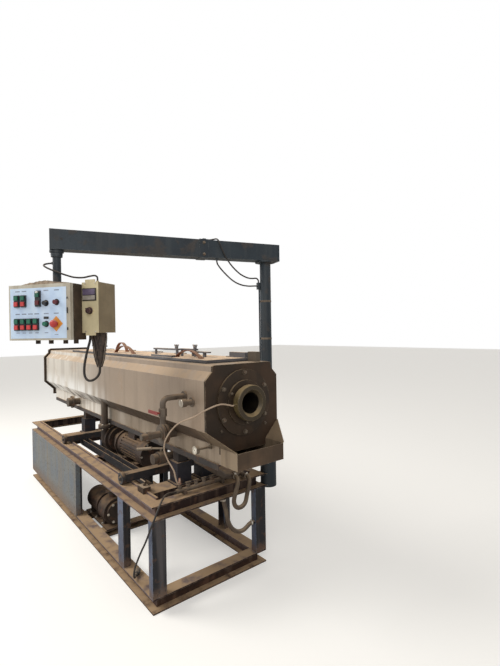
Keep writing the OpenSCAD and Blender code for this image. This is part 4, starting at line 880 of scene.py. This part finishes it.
knob.sawn((0.005, 0.032, 0.006), on_box(0.208, 1.587, 0.024) @ Matrix.Rotation(0.7, 4, "Z"))
knob.made("speed_knob", knob_maroon, "panel", "box_paint")
screws = Parts()
for y in (0.176, 0.236):
    for z in (1.478, 1.731):
        screws.turned([(0, 0), (0.0042, 0), (0.0042, 0.0016), (0.003, 0.0028), (0, 0.003)], on_box(y, z), 12)
screws.made("cover_screws", bright_steel, "panel", "box_paint")

# %% [markdown]
# ## The bundle of wires
#
# Under the meter box a tangle of thin wires draws together into a taped bundle. They could be
# simulated, but they are bound and don't move. So each is a thin tube that winds down the
# outside of the boot, with its own start, twist and wobble.

# %% Wires round the boot
# (height, radius) pairs down the boot
BOOT = ((1.470, 0.036), (1.440, 0.036), (1.410, 0.032), (1.380, 0.028), (1.350, 0.026), (1.325, 0.021),
        (1.300, 0.015), (1.289, 0.012))
BOOT_X, BOOT_Y, WIRE = -0.0715, 0.205, 0.0028
wire_brown = wear_and_painted_light_finish("wire_brown", (74, 60, 50), (46, 38, 34), patches=60, rough=0.6)
wire_grey = wear_and_painted_light_finish("wire_grey", (128, 116, 102), (96, 86, 76), patches=60, rough=0.6)
for name, finish, count in (("wires_brown", wire_brown, 15), ("wires_grey", wire_grey, 9)):
    bundle = Parts()
    for i in range(count):
        angle, twist = random.uniform(0, math.tau), random.uniform(-1.6, 1.6)
        path = []
        for k, (z, radius) in enumerate(BOOT):
            turn = angle + twist * k / (len(BOOT) - 1) + random.uniform(-0.12, 0.12)
            out = radius + random.uniform(0.0002, 0.0035) * (1 if k < 6 else 0.3)
            path.append(on_panel @ Vector((BOOT_X + out * math.cos(turn), BOOT_Y + out * math.sin(turn), z)))
        bundle.add(*tube(path, WIRE, 6), room)
    bundle.made(name, finish, "panel", "cable_black", 60)
repaint("meter_box", wire_brown, lambda c: c.z < 1.4715 and math.hypot(c.x - BOOT_X, c.y - BOOT_Y) < 0.037,
        on_panel)

# %% [markdown]
# ## The dust on the cabinet
#
# Years of dust have heaped up on the cabinet's top, deeper round the hanging pipe. Dust in a
# material has no thickness, so this heap is a low mound: a grid of points raised by a few
# smooth bumps, closed at its rim, and coloured like the dust on the rest.


# %% A low mound of dust
def mound(name, place, length, width, bumps, finish, body, slot, steps=26):
    """A grid of points over a rectangle, raised by (x, y, reach, height) bumps, down to 0 at its rim."""
    points, size = [], steps + 1
    for i in range(size):
        for j in range(size):
            u, v = i / steps, j / steps
            x, y = (u - 0.5) * length, (v - 0.5) * width
            height = sum(h * math.exp(-((x - a) ** 2 + (y - b) ** 2) / r ** 2) for a, b, r, h in bumps)
            taper = min(1, 6 * min(u, 1 - u, v, 1 - v))
            points.append((x, y, taper * height * random.uniform(0.8, 1.15)))
    corners = [i * size + j for i in range(steps) for j in range(steps)]
    faces = [[k, k + size, k + size + 1, k + 1] for k in corners]
    # the rim's points in a ring, each with one of its own just under it
    last = steps * size
    rim = ([i * size for i in range(steps)] + [last + j for j in range(steps)]
           + [i * size + steps for i in range(steps, 0, -1)] + list(range(steps, 0, -1)))
    under = [len(points) + k for k in range(len(rim))]
    points += [(points[k][0], points[k][1], -0.0004) for k in rim]
    for a, b, c, d in zip(rim, under, under[1:] + under[:1], rim[1:] + rim[:1]):
        faces.append([a, b, c, d])
    faces.append(under[::-1])
    Parts().add(points, faces, place).made(name, finish, body, slot, 80)


dust_finish = wear_and_painted_light_finish("heaped_dust", (146, 128, 108), (112, 96, 80), patches=40, rough=0.95, grain=220)
mound("cabinet_dust", on_panel @ shifted(0.020, -0.036, 1.727), 0.090, 0.372,
      [(0, -0.02, 0.07, 0.022), (-0.01, 0.10, 0.06, 0.010), (0.005, -0.12, 0.06, 0.009), (0, 0, 0.3, 0.004)],
      dust_finish, "panel", "cabinet_paint")

# %% [markdown]
# ## The gauge and the tank's small fittings
#
# A pressure gauge looks out from the trough: a white dial in a metal case, with a ring of
# marks and a needle. The stub above it is closed by a pale cap. At this size the marks are thin
# blocks in a ring, which stay sharp from close up, as a drawn texture would not.

# %% Dial, marks and needle
GAUGE = facing((1.602, -0.249, 0.875), -Y)
dial_white = wear_and_painted_light_finish("dial_white", (226, 220, 206), (208, 200, 184), patches=60, rough=0.4)
dial_black = wear_and_painted_light_finish("dial_black", (40, 36, 34), (30, 28, 26), patches=60)
Parts().turned([(0, 0), (0.0175, 0), (0.0175, 0.0006), (0, 0.0008)], GAUGE, 32).made(
    "gauge_dial", dial_white, "base", "gauge_metal")
marks = Parts()
for i in range(11):
    turn = Matrix.Rotation(math.radians(-135 + 27 * i), 4, "Z")
    marks.sawn((0.0008, 0.0035, 0.0005), GAUGE @ turn @ shifted(0, 0.0148, 0.0005), 0.0001)
needle = GAUGE @ Matrix.Rotation(math.radians(52), 4, "Z") @ shifted(0, 0.006, 0.0009)
marks.sawn((0.0012, 0.015, 0.0006), needle, 0.0002)
marks.turned([(0, 0.0006), (0.0022, 0.0006), (0.0018, 0.0022), (0, 0.0024)], GAUGE, 16)
marks.made("gauge_marks", dial_black, "base", "gauge_metal")
Parts().turned([(0.0175, 0), (0.0215, 0), (0.0215, 0.0015), (0.0205, 0.003), (0.0180, 0.003), (0.0175, 0.001),
                (0.0175, 0)], GAUGE, 32).made("gauge_rim", bright_steel, "base", "gauge_metal")
Parts().turned([(0, 0), (0.0195, 0), (0.0195, 0.002), (0.017, 0.004), (0, 0.0045)],
               facing((1.564, -0.300, 1.111), -Y), 24).made("stub_cap", bright_steel, "base", "pipe_steel")

# %% [markdown]
# ## Hose clips, and how hoses meet their fittings
#
# A water hose is pushed over a nozzle and held by a steel band with a screw. The band is a
# short turned ring, a little wider than the hose, with a small block for the screw. The thin
# hose on its tap ends in a pinkish fork fitting.


# %% Clips on the hoses and the fitting of the thin hose
def band(inner, outer, half):
    """The profile of a flat ring, half its width to each side of the local XY plane."""
    return [(inner, -half), (outer, -half), (outer, half), (inner, half), (inner, -half)]


clips = Parts()
for point, direction in (((1.420, 0.140, 0.604), X), ((1.408, 0.236, 0.582), X),
                         ((1.362, 0.092, 0.460), Z), ((1.378, 0.289, 0.268), Y)):
    where = facing(point, direction)
    clips.turned(band(0.0132, 0.0142, 0.005), where, 24)
    clips.sawn((0.012, 0.008, 0.007), where @ shifted(0, 0.0165, -0.0035))
clips.made("hose_clips", bright_steel, "base", "pipe_steel")
fitting_pink = wear_and_painted_light_finish("fitting_pink", (176, 128, 108), (148, 104, 88), patches=40)
Parts().turned([(0.0042, 0), (0.0068, 0), (0.0072, 0.010), (0.0060, 0.030), (0.0052, 0.034), (0.0042, 0.034),
                (0.0042, 0)], facing((1.344, -0.192, 0.619), Z), 16).made(
    "hose_fitting", fitting_pink, "base", "hose_pale")

# %% [markdown]
# ## Marks on the boom and the mast
#
# The boom's end has an open hole from an earlier fitting, its band is drawn up by bolts, and
# clips hold the cable's conduit to the mast. A drilled hole would need a changed solid, so a
# thin dark disc paints the shade inside the hole.

# %% Band bolts, boom hole and mast clips
BAND_SIDE, BOOM_SIDE = 0.048, 0.045
boom_bits, hole, mast_clips = Parts(), Parts(), Parts()
for z in (1.935, 2.005):
    for s in (-1, 1):
        boom_bits.bolt(0.013, on_boom @ facing((0.421, s * BAND_SIDE, z), Y * s))
boom_bits.made("band_bolts", bolt_steel, "boom", "boom_paint")
for s in (-1, 1):
    hole.turned([(0, 0), (0.0065, 0), (0.0065, 0.0004), (0, 0.0005)],
                on_boom @ facing((1.200, s * BOOM_SIDE, 1.972), Y * s), 20)
hole.made("boom_hole", dark_trim_and_painted_hole_shade, "boom", "boom_paint")
for z in (0.90, 1.15, 1.42, 1.66):
    mast_clips.turned(band(0.0350, 0.0366, 0.006), shifted(MAST.x, MAST.y, z), 40)
mast_clips.made("mast_clips", bolt_steel, "boom", "boom_paint")

# %% [markdown]
# ## Update the scene
#
# At the end the view layer is updated once more.

# %% Update the scene
bpy.context.view_layer.update()
